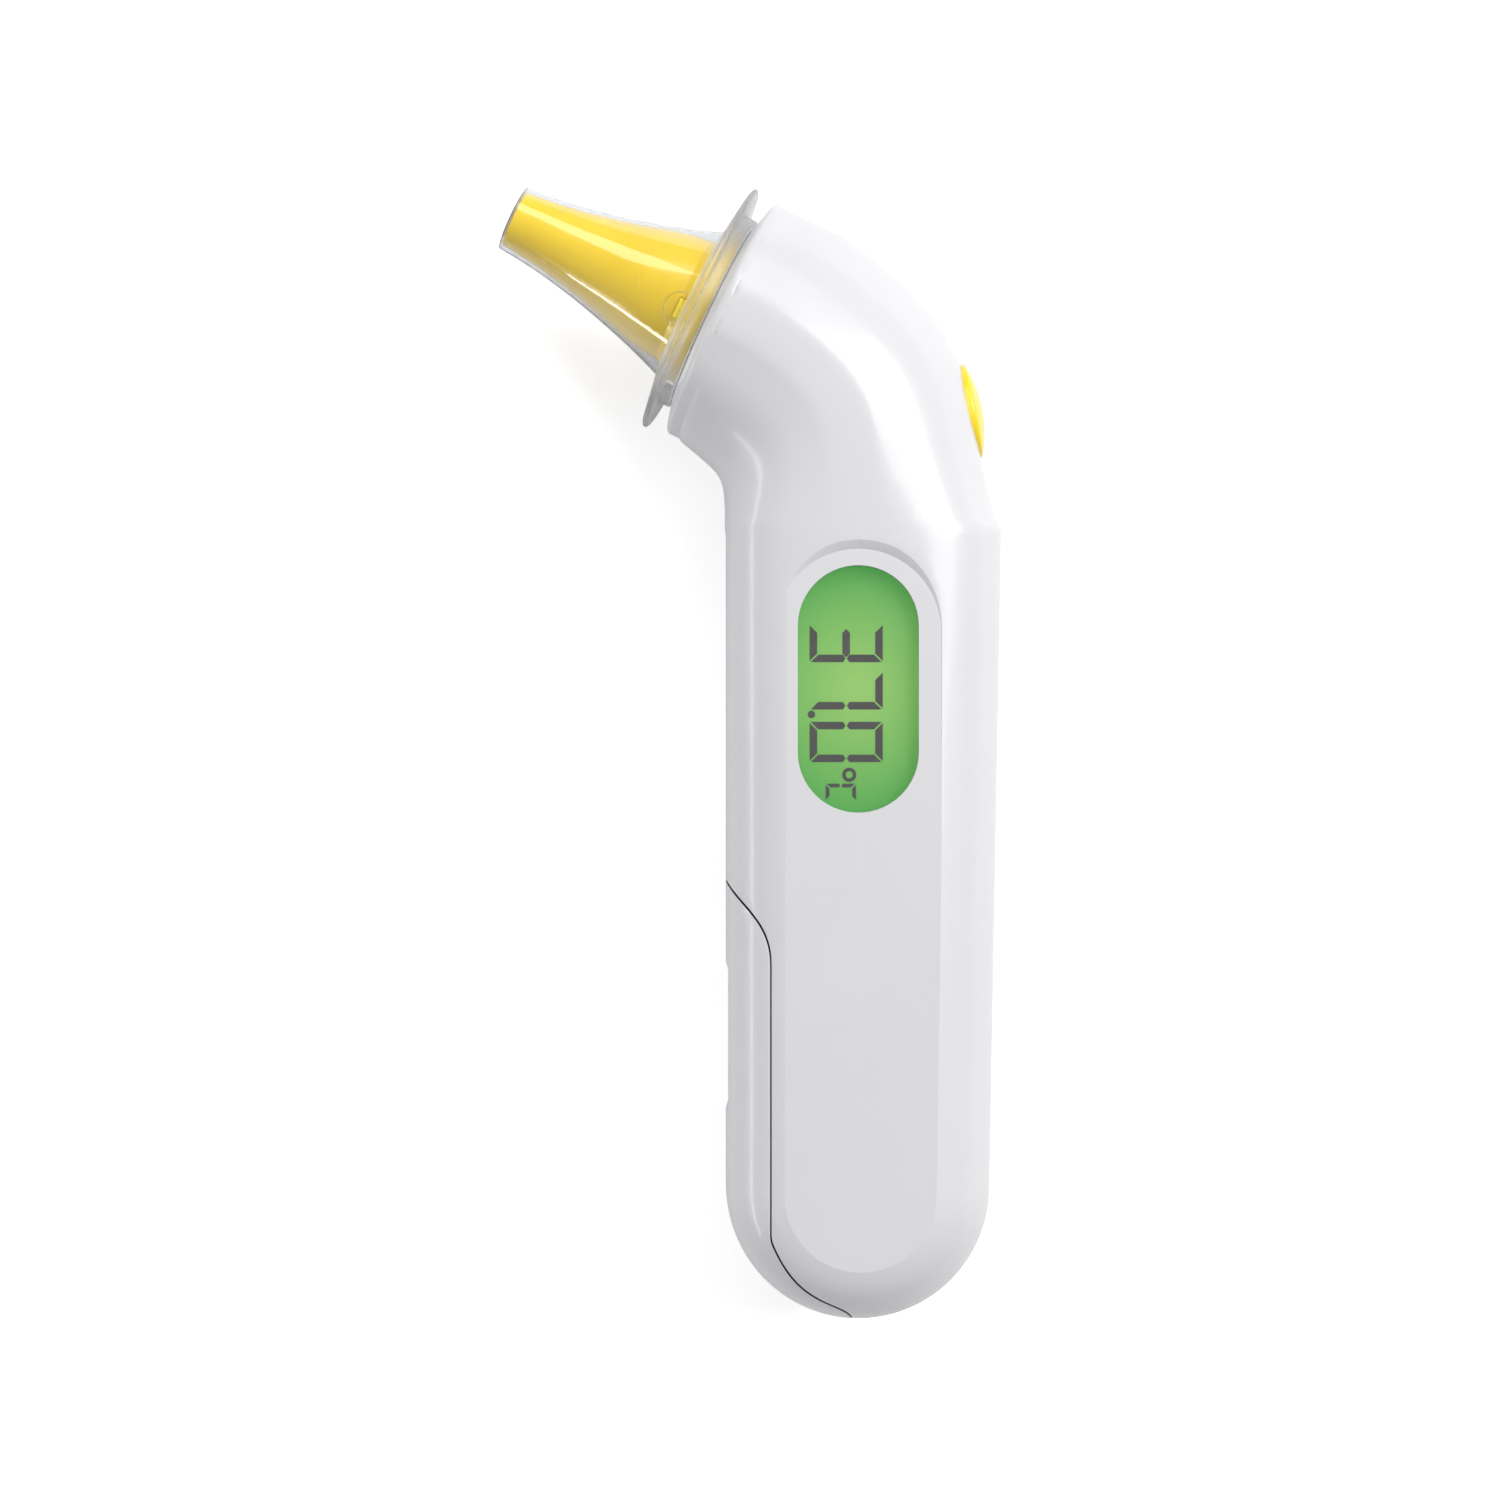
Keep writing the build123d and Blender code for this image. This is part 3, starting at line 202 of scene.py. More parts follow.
# %% Group: scuffs
def build_scuffs():
    inputs = [("Amount", FLOAT, 0.1), ("Scale", FLOAT, 500.0)]
    group, start, end = new_group("scuffs", inputs, [("Roughness", FLOAT)])
    place = group.nodes.new("ShaderNodeTexCoord")
    stretch = node(group, "ShaderNodeMapping", Rotation=(0.3, 0.2, 0.6), Scale=(1.0, 0.04, 1.0))
    lines = node(group, "ShaderNodeTexNoise", Detail=3.0)
    crest = node(group, "ShaderNodeMapRange", clamp=True)
    for label, value in (("From Min", 0.62), ("From Max", 0.74), ("To Min", 0.0), ("To Max", 1.0)):
        crest.inputs[label].default_value = value
    group.links.new(place.outputs["Object"], stretch.inputs["Vector"])
    group.links.new(stretch.outputs[0], lines.inputs["Vector"])
    group.links.new(start.outputs["Scale"], lines.inputs["Scale"])
    group.links.new(lines.outputs[0], crest.inputs[0])
    dullness = maths(group, "MULTIPLY", crest.outputs[0], start.outputs["Amount"])
    group.links.new(dullness, end.inputs["Roughness"])
    return group


scuffs = build_scuffs()
print("scuffs:", [s.name for s in scuffs.interface.items_tree])

# %% [markdown]
# ## A finish from the three effects
# Most pieces want the same recipe in different amounts: drifting colour, uneven gloss, scuffs
# and a trace of bump. This function places the three groups in a fresh material with its own
# Principled shader, and leaves all that is constant on the shader's own sockets.

# %% Finish builder
def place_group(tree, group, **values):
    """A group placed in a material, with its sockets set by name."""
    made = tree.nodes.new("ShaderNodeGroup")
    made.node_tree = group
    for label, value in values.items():
        made.inputs[label.replace("_", " ")].default_value = value
    return made


def finish(name, base, deeper, roughness, unevenness=0.1, scuff=0.05, grain=4000.0, bump=0.02, **shader):
    """A material from the shared effects; shader holds constant values by socket name."""
    material = bpy.data.materials.new(name)
    material.use_nodes = True
    tree = material.node_tree
    surface = tree.nodes["Principled BSDF"]
    for label, value in shader.items():
        surface.inputs[label.replace("_", " ")].default_value = value
    drift = place_group(tree, colour_drift, Colour=base, Deeper=deeper)
    moulded = place_group(tree, mould_grain, Grain_Scale=grain, Roughness=roughness, Unevenness=unevenness)
    worn = place_group(tree, scuffs, Amount=scuff)
    relief = tree.nodes.new("ShaderNodeBump")
    relief.inputs["Strength"].default_value = bump
    relief.inputs["Distance"].default_value = 0.05 * MM
    tree.links.new(drift.outputs["Colour"], surface.inputs["Base Color"])
    total = maths(tree, "ADD", moulded.outputs["Roughness"], worn.outputs["Roughness"])
    tree.links.new(total, surface.inputs["Roughness"])
    tree.links.new(moulded.outputs["Height"], relief.inputs["Height"])
    tree.links.new(relief.outputs["Normal"], surface.inputs["Normal"])
    return material


def dress(material, slot, *names):
    """Gives nodes a material; the slot argument is not used."""
    for name in names:
        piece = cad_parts[name]
        piece.data.materials.clear()
        piece.data.materials.append(material)
    print(material.name, "on", ", ".join(names))


# %% [markdown]
# ## White casing
# The casing is satin ABS, a white plastic with a soft gloss. It reflects about two thirds of the
# light, which is less than a white floor does, so it reads as a light grey where it faces up and
# goes to white only towards the lamp. A weak coat gives the polish that a pure satin lacks.

# %% White casing, door included
white_plastic = finish(
    "satin white plastic", colour(212, 212, 214), colour(208, 208, 211), 0.34, 0.12, 0.08, 2600.0, 0.05,
    Coat_Weight=0.25, Coat_Roughness=0.12,
)
dress(white_plastic, "white_shell", "housing_display_side", "housing_back_side", "battery_door")

# %% [markdown]
# ## Yellow parts
# The nozzle, the start button and the filter detector are all moulded from one yellow plastic.
# The thumb makes the button's top a little duller, so it has a material of its own with more
# unevenness; the nozzle keeps the mould's gloss.

# %% Yellow mouldings
nozzle_yellow = finish(
    "glossy yellow plastic", colour(228, 195, 42), colour(221, 185, 33), 0.24, 0.1, 0.04, 3000.0, 0.03,
    Coat_Weight=0.3, Coat_Roughness=0.08,
)
button_yellow = finish(
    "handled yellow plastic", colour(246, 218, 44), colour(240, 208, 36), 0.3, 0.16, 0.1, 2400.0, 0.06,
    Coat_Weight=0.2, Coat_Roughness=0.15,
)
dress(nozzle_yellow, "yellow_plastic", "probe_nozzle")
dress(button_yellow, "yellow_plastic", "start_button", "filter_detector")

# %% [markdown]
# ## Clear plastic
# The lens filter and the display window are clear. A real clear plastic bends light, and its
# edges look grey because one looks through the length of the wall. The Principled shader does
# all of it with full transmission. Clear things would also block the lamps' direct light, so
# the Light Path node lets most of the shadow through: only shadows, never what one sees.

# %% Clear plastic builder
def clear_finish(name, tint, roughness, unevenness, passes, frost=None, ior=1.49):
    """A clear plastic; passes is the share of light that its shadow lets through."""
    material = bpy.data.materials.new(name)
    material.use_nodes = True
    tree = material.node_tree
    surface = tree.nodes["Principled BSDF"]
    surface.inputs["Transmission Weight"].default_value = 1.0
    surface.inputs["IOR"].default_value = ior
    drift = place_group(tree, colour_drift, Colour=tint, Deeper=tuple(0.985 * c for c in tint[:3]) + (1,))
    moulded = place_group(tree, mould_grain, Grain_Scale=900.0, Roughness=roughness, Unevenness=unevenness)
    relief = tree.nodes.new("ShaderNodeBump")
    relief.inputs["Strength"].default_value = 0.04
    relief.inputs["Distance"].default_value = 0.05 * MM
    path = tree.nodes.new("ShaderNodeLightPath")
    opaque = maths(tree, "SUBTRACT", 1.0, maths(tree, "MULTIPLY", path.outputs["Is Shadow Ray"], passes))
    tree.links.new(opaque, surface.inputs["Alpha"])
    tree.links.new(drift.outputs["Colour"], surface.inputs["Base Color"])
    dullness = moulded.outputs["Roughness"]
    if frost:
        dullness = maths(tree, "ADD", dullness, frost(tree))
    tree.links.new(dullness, surface.inputs["Roughness"])
    tree.links.new(moulded.outputs["Height"], relief.inputs["Height"])
    tree.links.new(relief.outputs["Normal"], surface.inputs["Normal"])
    return material


print("ready:", clear_finish.__name__)

# %% [markdown]
# The filter's flange is frosted so that a finger can grip it, while the cone is polished. How
# far a point is from the probe's axis tells the two apart: the cross product with the axis
# gives that distance, and a steep ramp turns it into a roughness that is added.

# %% Place of the probe, and the frosted flange
PROBE_TURN = radians(154.2)
PROBE_ORIGIN = Vector((-6.5712, 59.6593, 17.6)) * MM
ALONG = Vector((cos(PROBE_TURN), sin(PROBE_TURN), 0))
DOWN_FACE = Vector((-sin(PROBE_TURN), cos(PROBE_TURN), 0))
UP = Vector((0, 0, 1))
FROST_START, FROST_FULL = 10.9 * MM, 11.4 * MM
FROST_ROUGHNESS = 0.38


def flange_frost(tree):
    """A socket with the extra roughness of the flange, by distance from the probe's axis."""
    place = tree.nodes.new("ShaderNodeTexCoord")
    offset = node(tree, "ShaderNodeVectorMath", operation="SUBTRACT")
    offset.inputs[1].default_value = PROBE_ORIGIN
    cross = node(tree, "ShaderNodeVectorMath", operation="CROSS_PRODUCT")
    cross.inputs[1].default_value = ALONG
    length = node(tree, "ShaderNodeVectorMath", operation="LENGTH")
    ramp = node(tree, "ShaderNodeMapRange", clamp=True)
    ramp.inputs["From Min"].default_value = FROST_START
    ramp.inputs["From Max"].default_value = FROST_FULL
    ramp.inputs["To Min"].default_value = 0.0
    ramp.inputs["To Max"].default_value = FROST_ROUGHNESS
    tree.links.new(place.outputs["Object"], offset.inputs[0])
    tree.links.new(offset.outputs["Vector"], cross.inputs[0])
    tree.links.new(cross.outputs["Vector"], length.inputs[0])
    tree.links.new(length.outputs["Value"], ramp.inputs[0])
    return ramp.outputs[0]


clear_plastic = clear_finish("clear filter plastic", colour(243, 245, 248), 0.04, 0.04, 0.92, flange_frost)
thin_film = clear_finish("clear thin film", colour(246, 247, 250), 0.12, 0.06, 0.95)
window_plastic = clear_finish("clear window plastic", colour(250, 252, 250), 0.02, 0.02, 0.96)
dress(clear_plastic, "clear_filter", "lens_filter")
dress(thin_film, "clear_filter", "lens_filter_film")
dress(window_plastic, "clear_window", "display_window")

# %% [markdown]
# ## The lit display
# Two lamps shine into a light guide behind the liquid-crystal glass, so the display glows green,
# brightest in the middle and deeper towards its edge. The glow is the glass's own emission, and
# its colour follows the distance from the middle, counted slower along the handle than across.

# %% Display glass
glass_low, glass_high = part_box("lcd_glass")
glass_middle = (glass_low + glass_high) / 2
HALF_GLOW = 17 * MM
SIDE_GLOW = 14 * MM
GLOW_STRENGTH = 0.85
PATCHINESS = 0.12
UNLIT_SHARE = 0.15


def display_finish():
    """The lit glass: a green that deepens with distance from the middle of the display."""
    material = bpy.data.materials.new("lit display glass")
    material.use_nodes = True
    tree = material.node_tree
    surface = tree.nodes["Principled BSDF"]
    surface.inputs["Roughness"].default_value = 0.35
    surface.inputs["Emission Strength"].default_value = GLOW_STRENGTH
    place = tree.nodes.new("ShaderNodeTexCoord")
    parts = tree.nodes.new("ShaderNodeSeparateXYZ")
    tree.links.new(place.outputs["Object"], parts.inputs[0])
    down = maths(tree, "SUBTRACT", parts.outputs["Y"], glass_middle.y)
    side = maths(tree, "SUBTRACT", parts.outputs["X"], glass_middle.x)
    along = maths(tree, "DIVIDE", down, HALF_GLOW)
    across = maths(tree, "DIVIDE", side, SIDE_GLOW)
    along_square = maths(tree, "MULTIPLY", along, along)
    squares = maths(tree, "ADD", along_square, maths(tree, "MULTIPLY", across, across))
    share = maths(tree, "SQRT", squares, 0)
    cloud = node(tree, "ShaderNodeTexNoise", Scale=90.0, Detail=2.0)
    tree.links.new(place.outputs["Object"], cloud.inputs["Vector"])
    patchy = maths(tree, "MULTIPLY", maths(tree, "SUBTRACT", cloud.outputs[0], 0.5), PATCHINESS)
    ramp = tree.nodes.new("ShaderNodeValToRGB")
    stops = ramp.color_ramp.elements
    stops[0].position = 0.0
    stops[0].color = colour(146, 196, 98)
    stops[1].position = 1.0
    stops[1].color = colour(58, 158, 60)
    middle_stop = stops.new(0.58)
    middle_stop.color = colour(110, 180, 80)
    tree.links.new(maths(tree, "ADD", share, patchy), ramp.inputs[0])
    tree.links.new(ramp.outputs["Color"], surface.inputs["Emission Color"])
    dim = node(tree, "ShaderNodeMix", data_type="RGBA", blend_type="MULTIPLY")
    dim.inputs[0].default_value = 1.0
    dim.inputs[7].default_value = (UNLIT_SHARE, UNLIT_SHARE, UNLIT_SHARE, 1)
    tree.links.new(ramp.outputs["Color"], dim.inputs[6])
    tree.links.new(dim.outputs[2], surface.inputs["Base Color"])
    return material


dress(display_finish(), "display_glass", "lcd_glass")

# %% [markdown]
# ## Digits
# The dark shapes of a liquid-crystal display are segments: seven bars with slanted ends make any
# digit. The reading is 37.0 degrees, and its digits lie across the handle, with their tops
# towards the button side. Each bar is a thin solid just above the glass.

# %% Segment outlines
GAP = 0.14
SEGMENTS = {"3": "ABCDG", "7": "ABC", "0": "ABCDEF", "C": "ADEF"}


def bar_outline(kind, width, height, s):
    """The corners of one segment, s wide, in a cell with its origin at the lower left."""
    half = s / 2
    middle = height / 2
    if kind in "AD":
        edge, inner = (height, height - s) if kind == "A" else (0, s)
        return [(GAP, edge), (width - GAP, edge), (width - GAP - s, inner), (GAP + s, inner)]
    if kind == "G":
        return [
            (GAP + half, middle), (GAP + s, middle + half), (width - GAP - s, middle + half),
            (width - GAP - half, middle), (width - GAP - s, middle - half), (GAP + s, middle - half),
        ]
    low, high = (middle + GAP / 2, height - GAP) if kind in "BF" else (GAP, middle - GAP / 2)
    outer, inner = (width, width - s) if kind in "BC" else (0, s)
    centre, point = (outer + inner) / 2, 0.35 * s
    if kind in "BF":
        return [(outer, low + point), (outer, high), (inner, high - s), (inner, low + point), (centre, low)]
    return [(outer, low), (outer, high - point), (centre, high), (inner, high - point), (inner, low + s)]


print("a three is made of", SEGMENTS["3"])

# %% [markdown]
# A display's text runs down the handle, so across the cell becomes minus Y and up becomes plus X.

# %% Build the digits
# each cell is: glyph, foot, start along the handle, width, height, stroke, all in millimetres
CELLS = [
    ("3", 7.9, 16.5, 5.0, 9.6, 1.0),
    ("7", 7.9, 10.3, 5.0, 9.6, 1.0),
    ("0", 7.9, 3.7, 5.3, 9.6, 1.0),
    ("C", 10.0, -4.4, 2.3, 4.0, 0.52),
]
INK_BASE = glass_high.z + 0.02 * MM
INK_TOP = glass_high.z + 0.06 * MM


def prism(target, outline, base, top):
    """Adds a closed upright prism to a mesh under construction."""
    lower = [target.verts.new((x, y, base)) for x, y in outline]
    upper = [target.verts.new((x, y, top)) for x, y in outline]
    target.faces.new(lower)
    target.faces.new(upper)
    for i in range(len(outline)):
        j = (i + 1) % len(outline)
        target.faces.new((lower[i], lower[j], upper[j], upper[i]))


def finished_mesh(name, target):
    """Turns a mesh under construction into an object with its faces outward."""
    bmesh.ops.recalc_face_normals(target, faces=target.faces)
    mesh = bpy.data.meshes.new(name)
    target.to_mesh(mesh)
    target.free()
    piece = bpy.data.objects.new(name, mesh)
    bpy.context.scene.collection.objects.link(piece)
    return piece


def lean(along, up):
    """The place on the display, in metres, of a point of the text in millimetres."""
    return (up * MM, along * MM)


ink = bmesh.new()
for glyph, foot, start, width, height, stroke in CELLS:
    for kind in SEGMENTS[glyph]:
        outline = bar_outline(kind, width, height, stroke)
        prism(ink, [lean(start - across, foot + up) for across, up in outline], INK_BASE, INK_TOP)

# %% [markdown]
# The decimal point is a small disc and the degree sign a ring, which is a circle of short bars.
# Each has its centre as (up the text, along the handle), in millimetres from the model's origin.

# %% Decimal point and degree sign
DOT, DOT_RADIUS, DOT_STEPS = (8.15, 4.66), 0.5, 24
RING, RING_OUTER, RING_INNER, RING_STEPS = (13.1, -3.25), 0.94, 0.46, 28


def circle_point(centre, radius, step, steps):
    turn = 2 * pi * step / steps
    return lean(centre[1] + radius * sin(turn), centre[0] + radius * cos(turn))


dot_outline = [circle_point(DOT, DOT_RADIUS, step, DOT_STEPS) for step in range(DOT_STEPS)]
prism(ink, dot_outline, INK_BASE, INK_TOP)
for step in range(RING_STEPS):
    corners = [
        circle_point(RING, RING_INNER, step, RING_STEPS),
        circle_point(RING, RING_OUTER, step, RING_STEPS),
        circle_point(RING, RING_OUTER, step + 1, RING_STEPS),
        circle_point(RING, RING_INNER, step + 1, RING_STEPS),
    ]
    prism(ink, corners, INK_BASE, INK_TOP)
bmesh.ops.remove_doubles(ink, verts=ink.verts, dist=0.001 * MM)
segments = finished_mesh("lcd_segments", ink)
print("display segments:", len(segments.data.polygons), "faces")

# %% [markdown]
# The switched-on crystal is a purplish dark grey and slightly see-through in life. A dull dark
# finish is enough at this size.

# %% Ink of the segments
segment_ink = finish(
    "dark display segment", colour(42, 37, 40), colour(36, 32, 35), 0.5, 0.1, 0.0, 5000.0, 0.02
)
segments.data.materials.append(segment_ink)
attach(segments, "housing")
print(segments.name, "ride on the housing")

# %% [markdown]
# ## The filter's moulded rib
# Where the filter covers the small detector plunger, a fine rib runs round the spot in the shape
# of a D, with its straight side along the flange. It follows the cone of the filter, so its
# points are worked out on the cone and a thin round curve is laid through them.

# %% A point round the probe
def on_probe(turn, radius, height):
    """A point round the probe: turn from the display side, radius and height in millimetres."""
    outward = UP * cos(radians(turn)) - DOWN_FACE * sin(radians(turn))
    return PROBE_ORIGIN + (outward * radius + ALONG * height) * MM


FLANGE_RADIUS = 17.6
lowest = min(on_probe(turn, FLANGE_RADIUS, 0).z for turn in (0, 180))
print("filter flange reaches down to", round(lowest / MM, 2), "mm")

# %% Build the rib
RIB_TURN, RIB_RADIUS, RIB_FOOT, RIB_WIRE = -13.5, 2.3, 1.75, 0.11
CONE = [(1.5, 10.65), (6.4, 8.9)]


def cone_radius(height):
    """The radius of the filter's cone at a height above the probe's origin, in millimetres."""
    (low, wide), (high, narrow) = CONE
    return wide + (narrow - wide) * (height - low) / (high - low)


def rib_point(across, height):
    radius = cone_radius(height)
    return on_probe(RIB_TURN + across / radius * 180 / pi, radius, height)


arc = [(RIB_RADIUS * cos(pi * i / 24), RIB_FOOT + RIB_RADIUS * sin(pi * i / 24)) for i in range(25)]
chord = [(-RIB_RADIUS + RIB_RADIUS * i / 4, RIB_FOOT) for i in range(1, 8)]
line = bpy.data.curves.new("filter_rib", "CURVE")
line.dimensions = "3D"
line.bevel_depth = RIB_WIRE * MM
line.bevel_resolution = 3
spline = line.splines.new("POLY")
spline.points.add(len(arc + chord) - 1)
for point, (across, height) in zip(spline.points, arc + chord):
    point.co = (*rib_point(across, height), 1)
spline.use_cyclic_u = True
rib = bpy.data.objects.new("filter_rib", line)
bpy.context.scene.collection.objects.link(rib)
rib.data.materials.append(clear_plastic)
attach(rib, "lens_filter")
print("rib points:", len(arc + chord))

# %% [markdown]
# ## Inner plastics and rubber
# What is inside shows only where the battery door slides away or the filter comes off: a grey
# tray, a black display frame, soft grey rubber. They are duller than the casing, as nobody
# polishes the inside of a mould.

# %% Dull mouldings
inner_plastic = finish(
    "matt grey plastic", colour(196, 198, 202), colour(184, 187, 192), 0.55, 0.15, 0.05, 1800.0, 0.12
)
frame_plastic = finish(
    "matt black plastic", colour(44, 45, 48), colour(36, 37, 40), 0.5, 0.15, 0.05, 1800.0, 0.12
)
soft_rubber = finish(
    "soft grey rubber", colour(150, 153, 158), colour(140, 143, 149), 0.7, 0.2, 0.0, 2200.0, 0.2
)
strip_rubber = finish(
    "dark conductive rubber", colour(60, 60, 64), colour(50, 50, 54), 0.7, 0.2, 0.0, 2200.0, 0.2
)
light_guide = finish(
    "milky light guide", colour(226, 240, 222), colour(216, 232, 212), 0.3, 0.1, 0.0, 2600.0, 0.04
)
dress(inner_plastic, "inner_plastic", "battery_tray", "sleeve_ring", "sensor_plug")
dress(frame_plastic, "inner_plastic", "lcd_frame", "switch_plunger")
dress(soft_rubber, "grey_rubber", "nozzle_seal")
dress(strip_rubber, "grey_rubber", "lcd_contact_strip")
dress(light_guide, "light_guide", "lcd_backlight", "backlight_leds")

# %% [markdown]
# ## Metals
# Three metals: nickel-plated spring steel for contacts, springs and screws, the gold-plated
# tube that leads the heat of the ear to the sensor, and a plain block of turned metal around it.

# %% Metals
plated_steel = finish(
    "nickel plated steel", colour(196, 194, 190), colour(182, 180, 176), 0.28, 0.14, 0.12, 3200.0, 0.04,
    Metallic=1.0,
)
gilt_metal = finish(
    "gilt tube", colour(232, 196, 112), colour(222, 182, 96), 0.18, 0.08, 0.04, 4000.0, 0.02,
    Metallic=1.0,
)
turned_metal = finish(
    "turned metal", colour(176, 178, 182), colour(162, 164, 168), 0.38, 0.16, 0.16, 1500.0, 0.08,
    Metallic=1.0,
)
dress(
    plated_steel, "plated_steel", "contact_bridge", "contact_positive", "contact_negative",
    "battery_spring_bottom", "battery_spring_top", "housing_screws", "board_screws", "detector_spring",
)
dress(gilt_metal, "gilt_metal", "waveguide_tube", "thermopile_sensor")
dress(turned_metal, "metal_block", "sensor_sleeve")

# %% [markdown]
# ## The circuit board and its parts
# The board is green laminate, with the weave of the glass cloth faintly in its surface. The
# parts on it are black epoxy, brown ceramic and the amber film of the sensor's flat cable.

# %% Electronics
laminate = finish("green laminate", colour(42, 104, 62), colour(34, 90, 52), 0.38, 0.14, 0.03, 1400.0, 0.15)
chip_plastic = finish("black epoxy", colour(38, 38, 40), colour(30, 30, 32), 0.48, 0.14, 0.03, 2600.0, 0.1)
ceramic = finish("brown ceramic", colour(150, 118, 88), colour(136, 104, 76), 0.45, 0.12, 0.0, 2600.0, 0.06)
ribbon_film = finish(
    "amber cable film", colour(206, 138, 52), colour(192, 122, 40), 0.3, 0.12, 0.04, 2600.0, 0.03
)
dress(laminate, "board_laminate", "main_board")
dress(chip_plastic, "chip_plastic", "microcontroller", "sensor_amplifier", "buzzer", "tact_switch")
dress(ceramic, "chip_plastic", "capacitors")
dress(ribbon_film, "ribbon_film", "sensor_ribbon")

# %% [markdown]
# ## Battery cells
# An AAA cell is a steel can in a printed sleeve: most of its length is the sleeve's colour, a
# band near the plus end has a second colour, and the bare ends are steel. A position along the
# cell picks the colour and whether it is metal, so one material serves both cells; the lower
# cell lies the other way round, so its bands are measured from its own plus end.

# %% Cell wrap
CAN_EDGE, BAND_START, CAN_START = 0.012, 0.72, 0.962
BARE_STEEL, SLEEVE, BAND = colour(190, 190, 190), colour(44, 62, 96), colour(196, 198, 202)
METAL, PRINT = (1, 1, 1, 1), (0, 0, 0, 1)


def stepped_ramp(tree, share, first, steps):
    """A ramp of plain steps over a socket from 0 to 1; steps are (start, colour)."""
    ramp = tree.nodes.new("ShaderNodeValToRGB")
    ramp.color_ramp.interpolation = "CONSTANT"
    stops = ramp.color_ramp.elements
    stops[0].color = first
    stops[1].position, stops[1].color = steps[0]
    for start, shade in steps[1:]:
        stops.new(start).color = shade
    tree.links.new(share, ramp.inputs[0])
    return ramp.outputs["Color"]


def cell_finish(name, plus_end, minus_end):
    """The wrap of a cell, whose ends are given as places along the handle."""
    material = bpy.data.materials.new(name)
    material.use_nodes = True
    tree = material.node_tree
    surface = tree.nodes["Principled BSDF"]
    place = tree.nodes.new("ShaderNodeTexCoord")
    parts = tree.nodes.new("ShaderNodeSeparateXYZ")
    tree.links.new(place.outputs["Object"], parts.inputs[0])
    run = maths(tree, "SUBTRACT", parts.outputs["Y"], minus_end)
    share = maths(tree, "DIVIDE", run, plus_end - minus_end)
    shade = stepped_ramp(
        tree, share, BARE_STEEL, [(CAN_EDGE, SLEEVE), (BAND_START, BAND), (CAN_START, BARE_STEEL)]
    )
    bare = stepped_ramp(tree, share, METAL, [(CAN_EDGE, PRINT), (CAN_START, METAL)])
    tree.links.new(bare, surface.inputs["Metallic"])
    drift = place_group(tree, colour_drift, Deeper=colour(120, 122, 126))
    tree.links.new(shade, drift.inputs["Colour"])
    moulded = place_group(tree, mould_grain, Grain_Scale=2600.0, Roughness=0.28, Unevenness=0.12)
    tree.links.new(drift.outputs["Colour"], surface.inputs["Base Color"])
    tree.links.new(moulded.outputs["Roughness"], surface.inputs["Roughness"])
    return material


for name, flipped in (("battery_upper", False), ("battery_lower", True)):
    low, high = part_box(name)
    ends = (low.y, high.y) if flipped else (high.y, low.y)
    dress(cell_finish(name.replace("_", " ") + " wrap", *ends), "cell_wrap", name)

# %% [markdown]
# ## The studio
# The thermometer lies on a white sweep. A product studio lights such a sweep on its own, so the
# ground goes to white and keeps only the faintest shadow; a little emission in the floor's
# material stands for that second set of lamps. The Light Path node keeps that emission to what
# is seen directly, so that the floor does not light the object's sides from below as well. The
# floor is part of the stage, not the object.

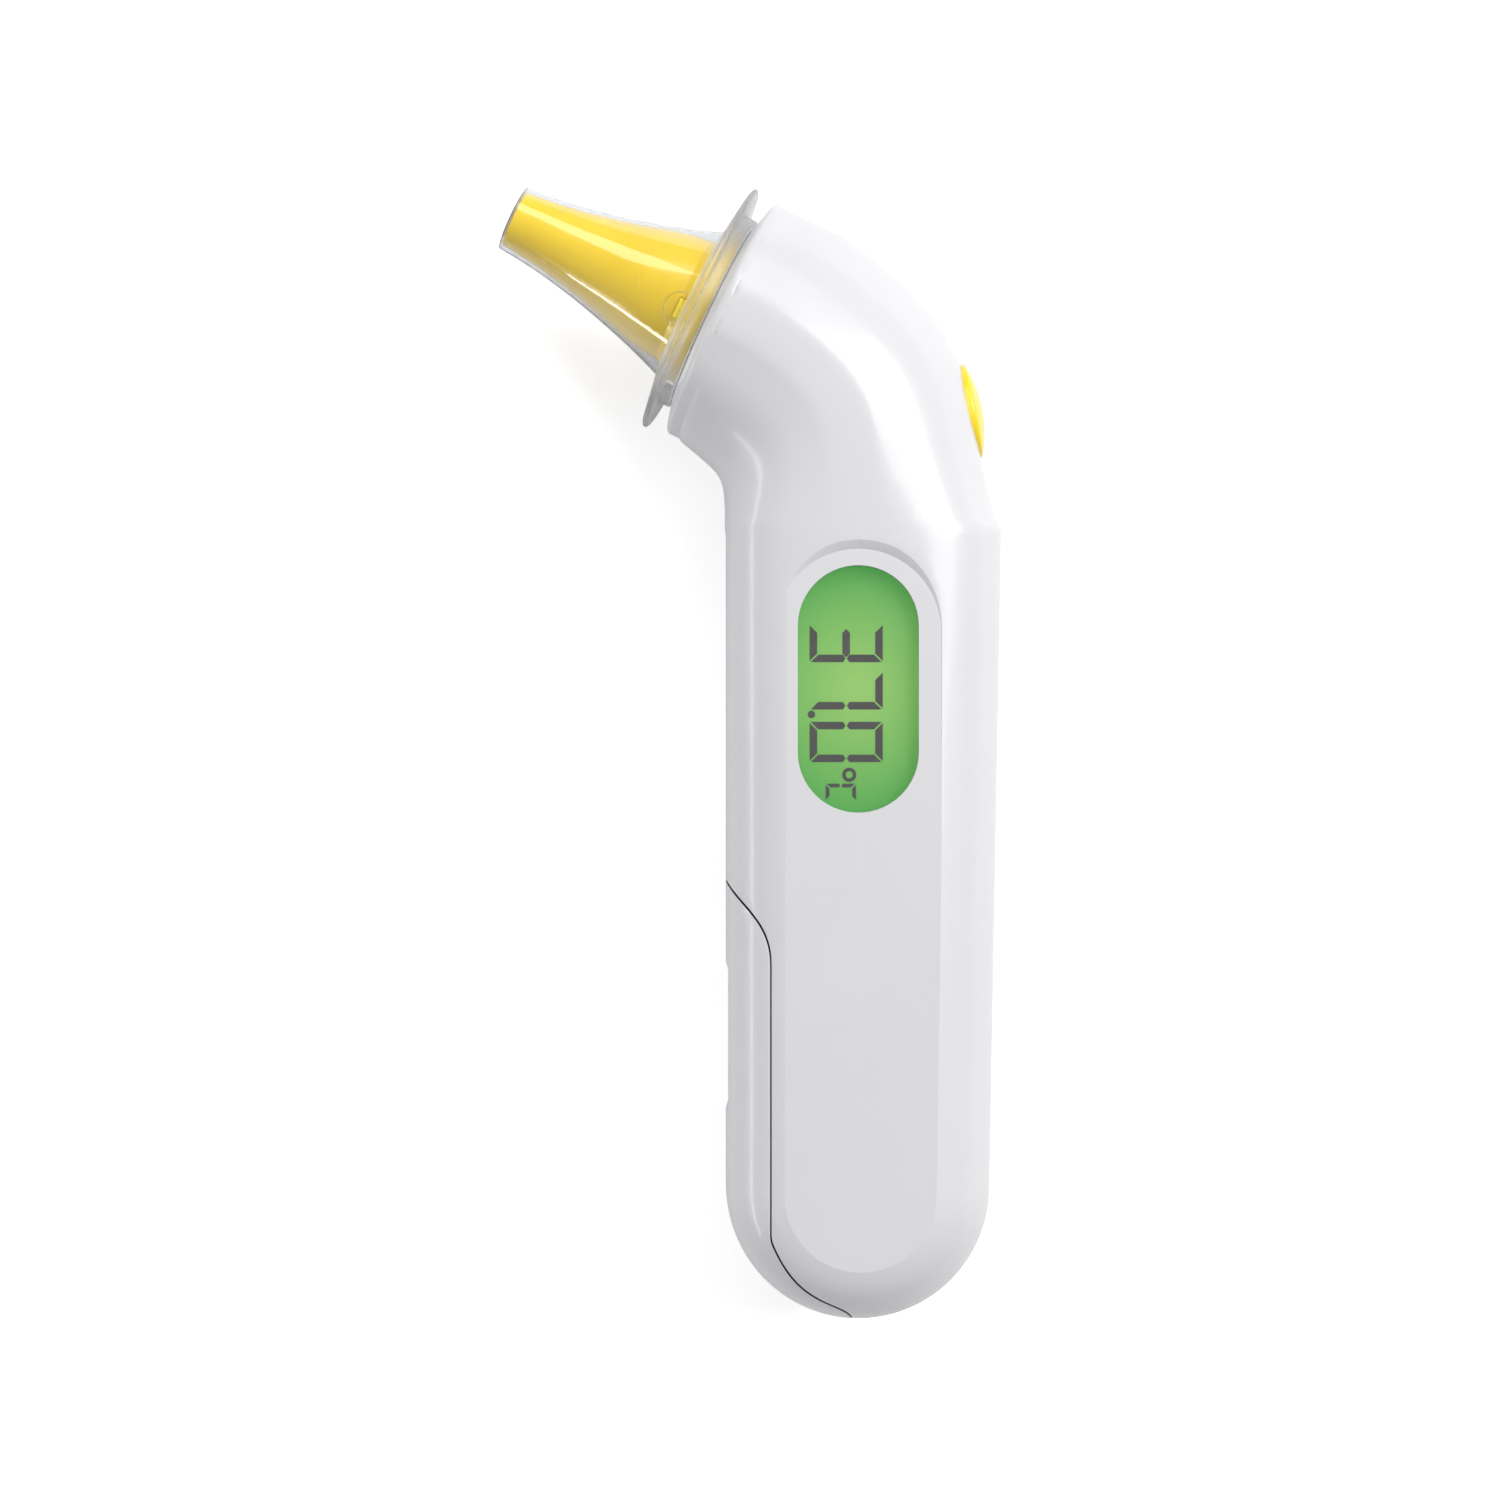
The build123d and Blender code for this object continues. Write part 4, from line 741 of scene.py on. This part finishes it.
# %% Floor
floor_mesh = bpy.data.meshes.new("floor")
REACH = 3.0
floor_mesh.from_pydata(
    [(-REACH, -REACH, 0), (REACH, -REACH, 0), (REACH, REACH, 0), (-REACH, REACH, 0)], [], [(0, 1, 2, 3)]
)
floor = bpy.data.objects.new("floor", floor_mesh)
bpy.context.scene.collection.objects.link(floor)
floor_white = finish(
    "white sweep", colour(247, 247, 248), colour(245, 245, 247), 0.6, 0.05, 0.0, 300.0, 0.0
)
FLOOR_GLOW = 0.55
sweep = floor_white.node_tree
ground = sweep.nodes["Principled BSDF"]
ground.inputs["Emission Color"].default_value = (1, 1, 1, 1)
seen = sweep.nodes.new("ShaderNodeLightPath").outputs["Is Camera Ray"]
sweep.links.new(maths(sweep, "MULTIPLY", seen, FLOOR_GLOW), ground.inputs["Emission Strength"])
floor.data.materials.append(floor_white)
print("floor is", 2 * REACH, "m wide")

# %% [markdown]
# Three soft boxes do the lighting. The main one is large and stands to the upper right, which
# makes that side of the casing white and lets the left side fall to grey. A weaker one beyond
# the head fills; it stands aside on purpose, as a lamp straight above would mirror in the display
# window. A narrow one low on the left draws the bright line along that rim.

# %% Lights
def soft_box(name, place, target, width, height, power):
    """A rectangular lamp at a place, turned to face a target; power in watts."""
    lamp = bpy.data.lights.new(name, "AREA")
    lamp.shape = "RECTANGLE"
    lamp.size = width
    lamp.size_y = height
    lamp.energy = power
    box = bpy.data.objects.new(name, lamp)
    bpy.context.scene.collection.objects.link(box)
    aim = Vector(target) - Vector(place)
    box.matrix_world = Matrix.Translation(place) @ aim.to_track_quat("-Z", "Y").to_matrix().to_4x4()
    return box


OBJECT_CENTRE = (0, 0, 0.015)
soft_box("main box", (0.5, 0.3, 0.75), OBJECT_CENTRE, 0.6, 0.6, 7.3)
soft_box("top box", (0.0, 0.8, 0.75), OBJECT_CENTRE, 0.9, 0.4, 2.6)
soft_box("rim box", (-0.6, -0.05, 0.06), OBJECT_CENTRE, 0.7, 0.06, 1.1)
world = bpy.data.worlds.new("studio air")
world.use_nodes = True
world.node_tree.nodes["Background"].inputs["Color"].default_value = (1, 1, 1, 1)
world.node_tree.nodes["Background"].inputs["Strength"].default_value = 0.38
bpy.context.scene.world = world
bpy.context.scene.view_settings.view_transform = "Standard"

# %% [markdown]
# ## The camera
# A catalogue view of a hand-held device is taken from straight above with a long lens, so that
# its outline is true and only the sides nearest the edge of the view show a little.

# %% Camera
eye = bpy.data.cameras.new("catalogue camera")
eye.lens = 80.4
eye.sensor_width = 36
CAMERA_HEIGHT = 0.4706
camera = bpy.data.objects.new("catalogue camera", eye)
camera.location = (0.0001, 0, CAMERA_HEIGHT)
bpy.context.scene.collection.objects.link(camera)
bpy.context.scene.camera = camera
print("camera stands", camera.location.z, "m above the sweep")
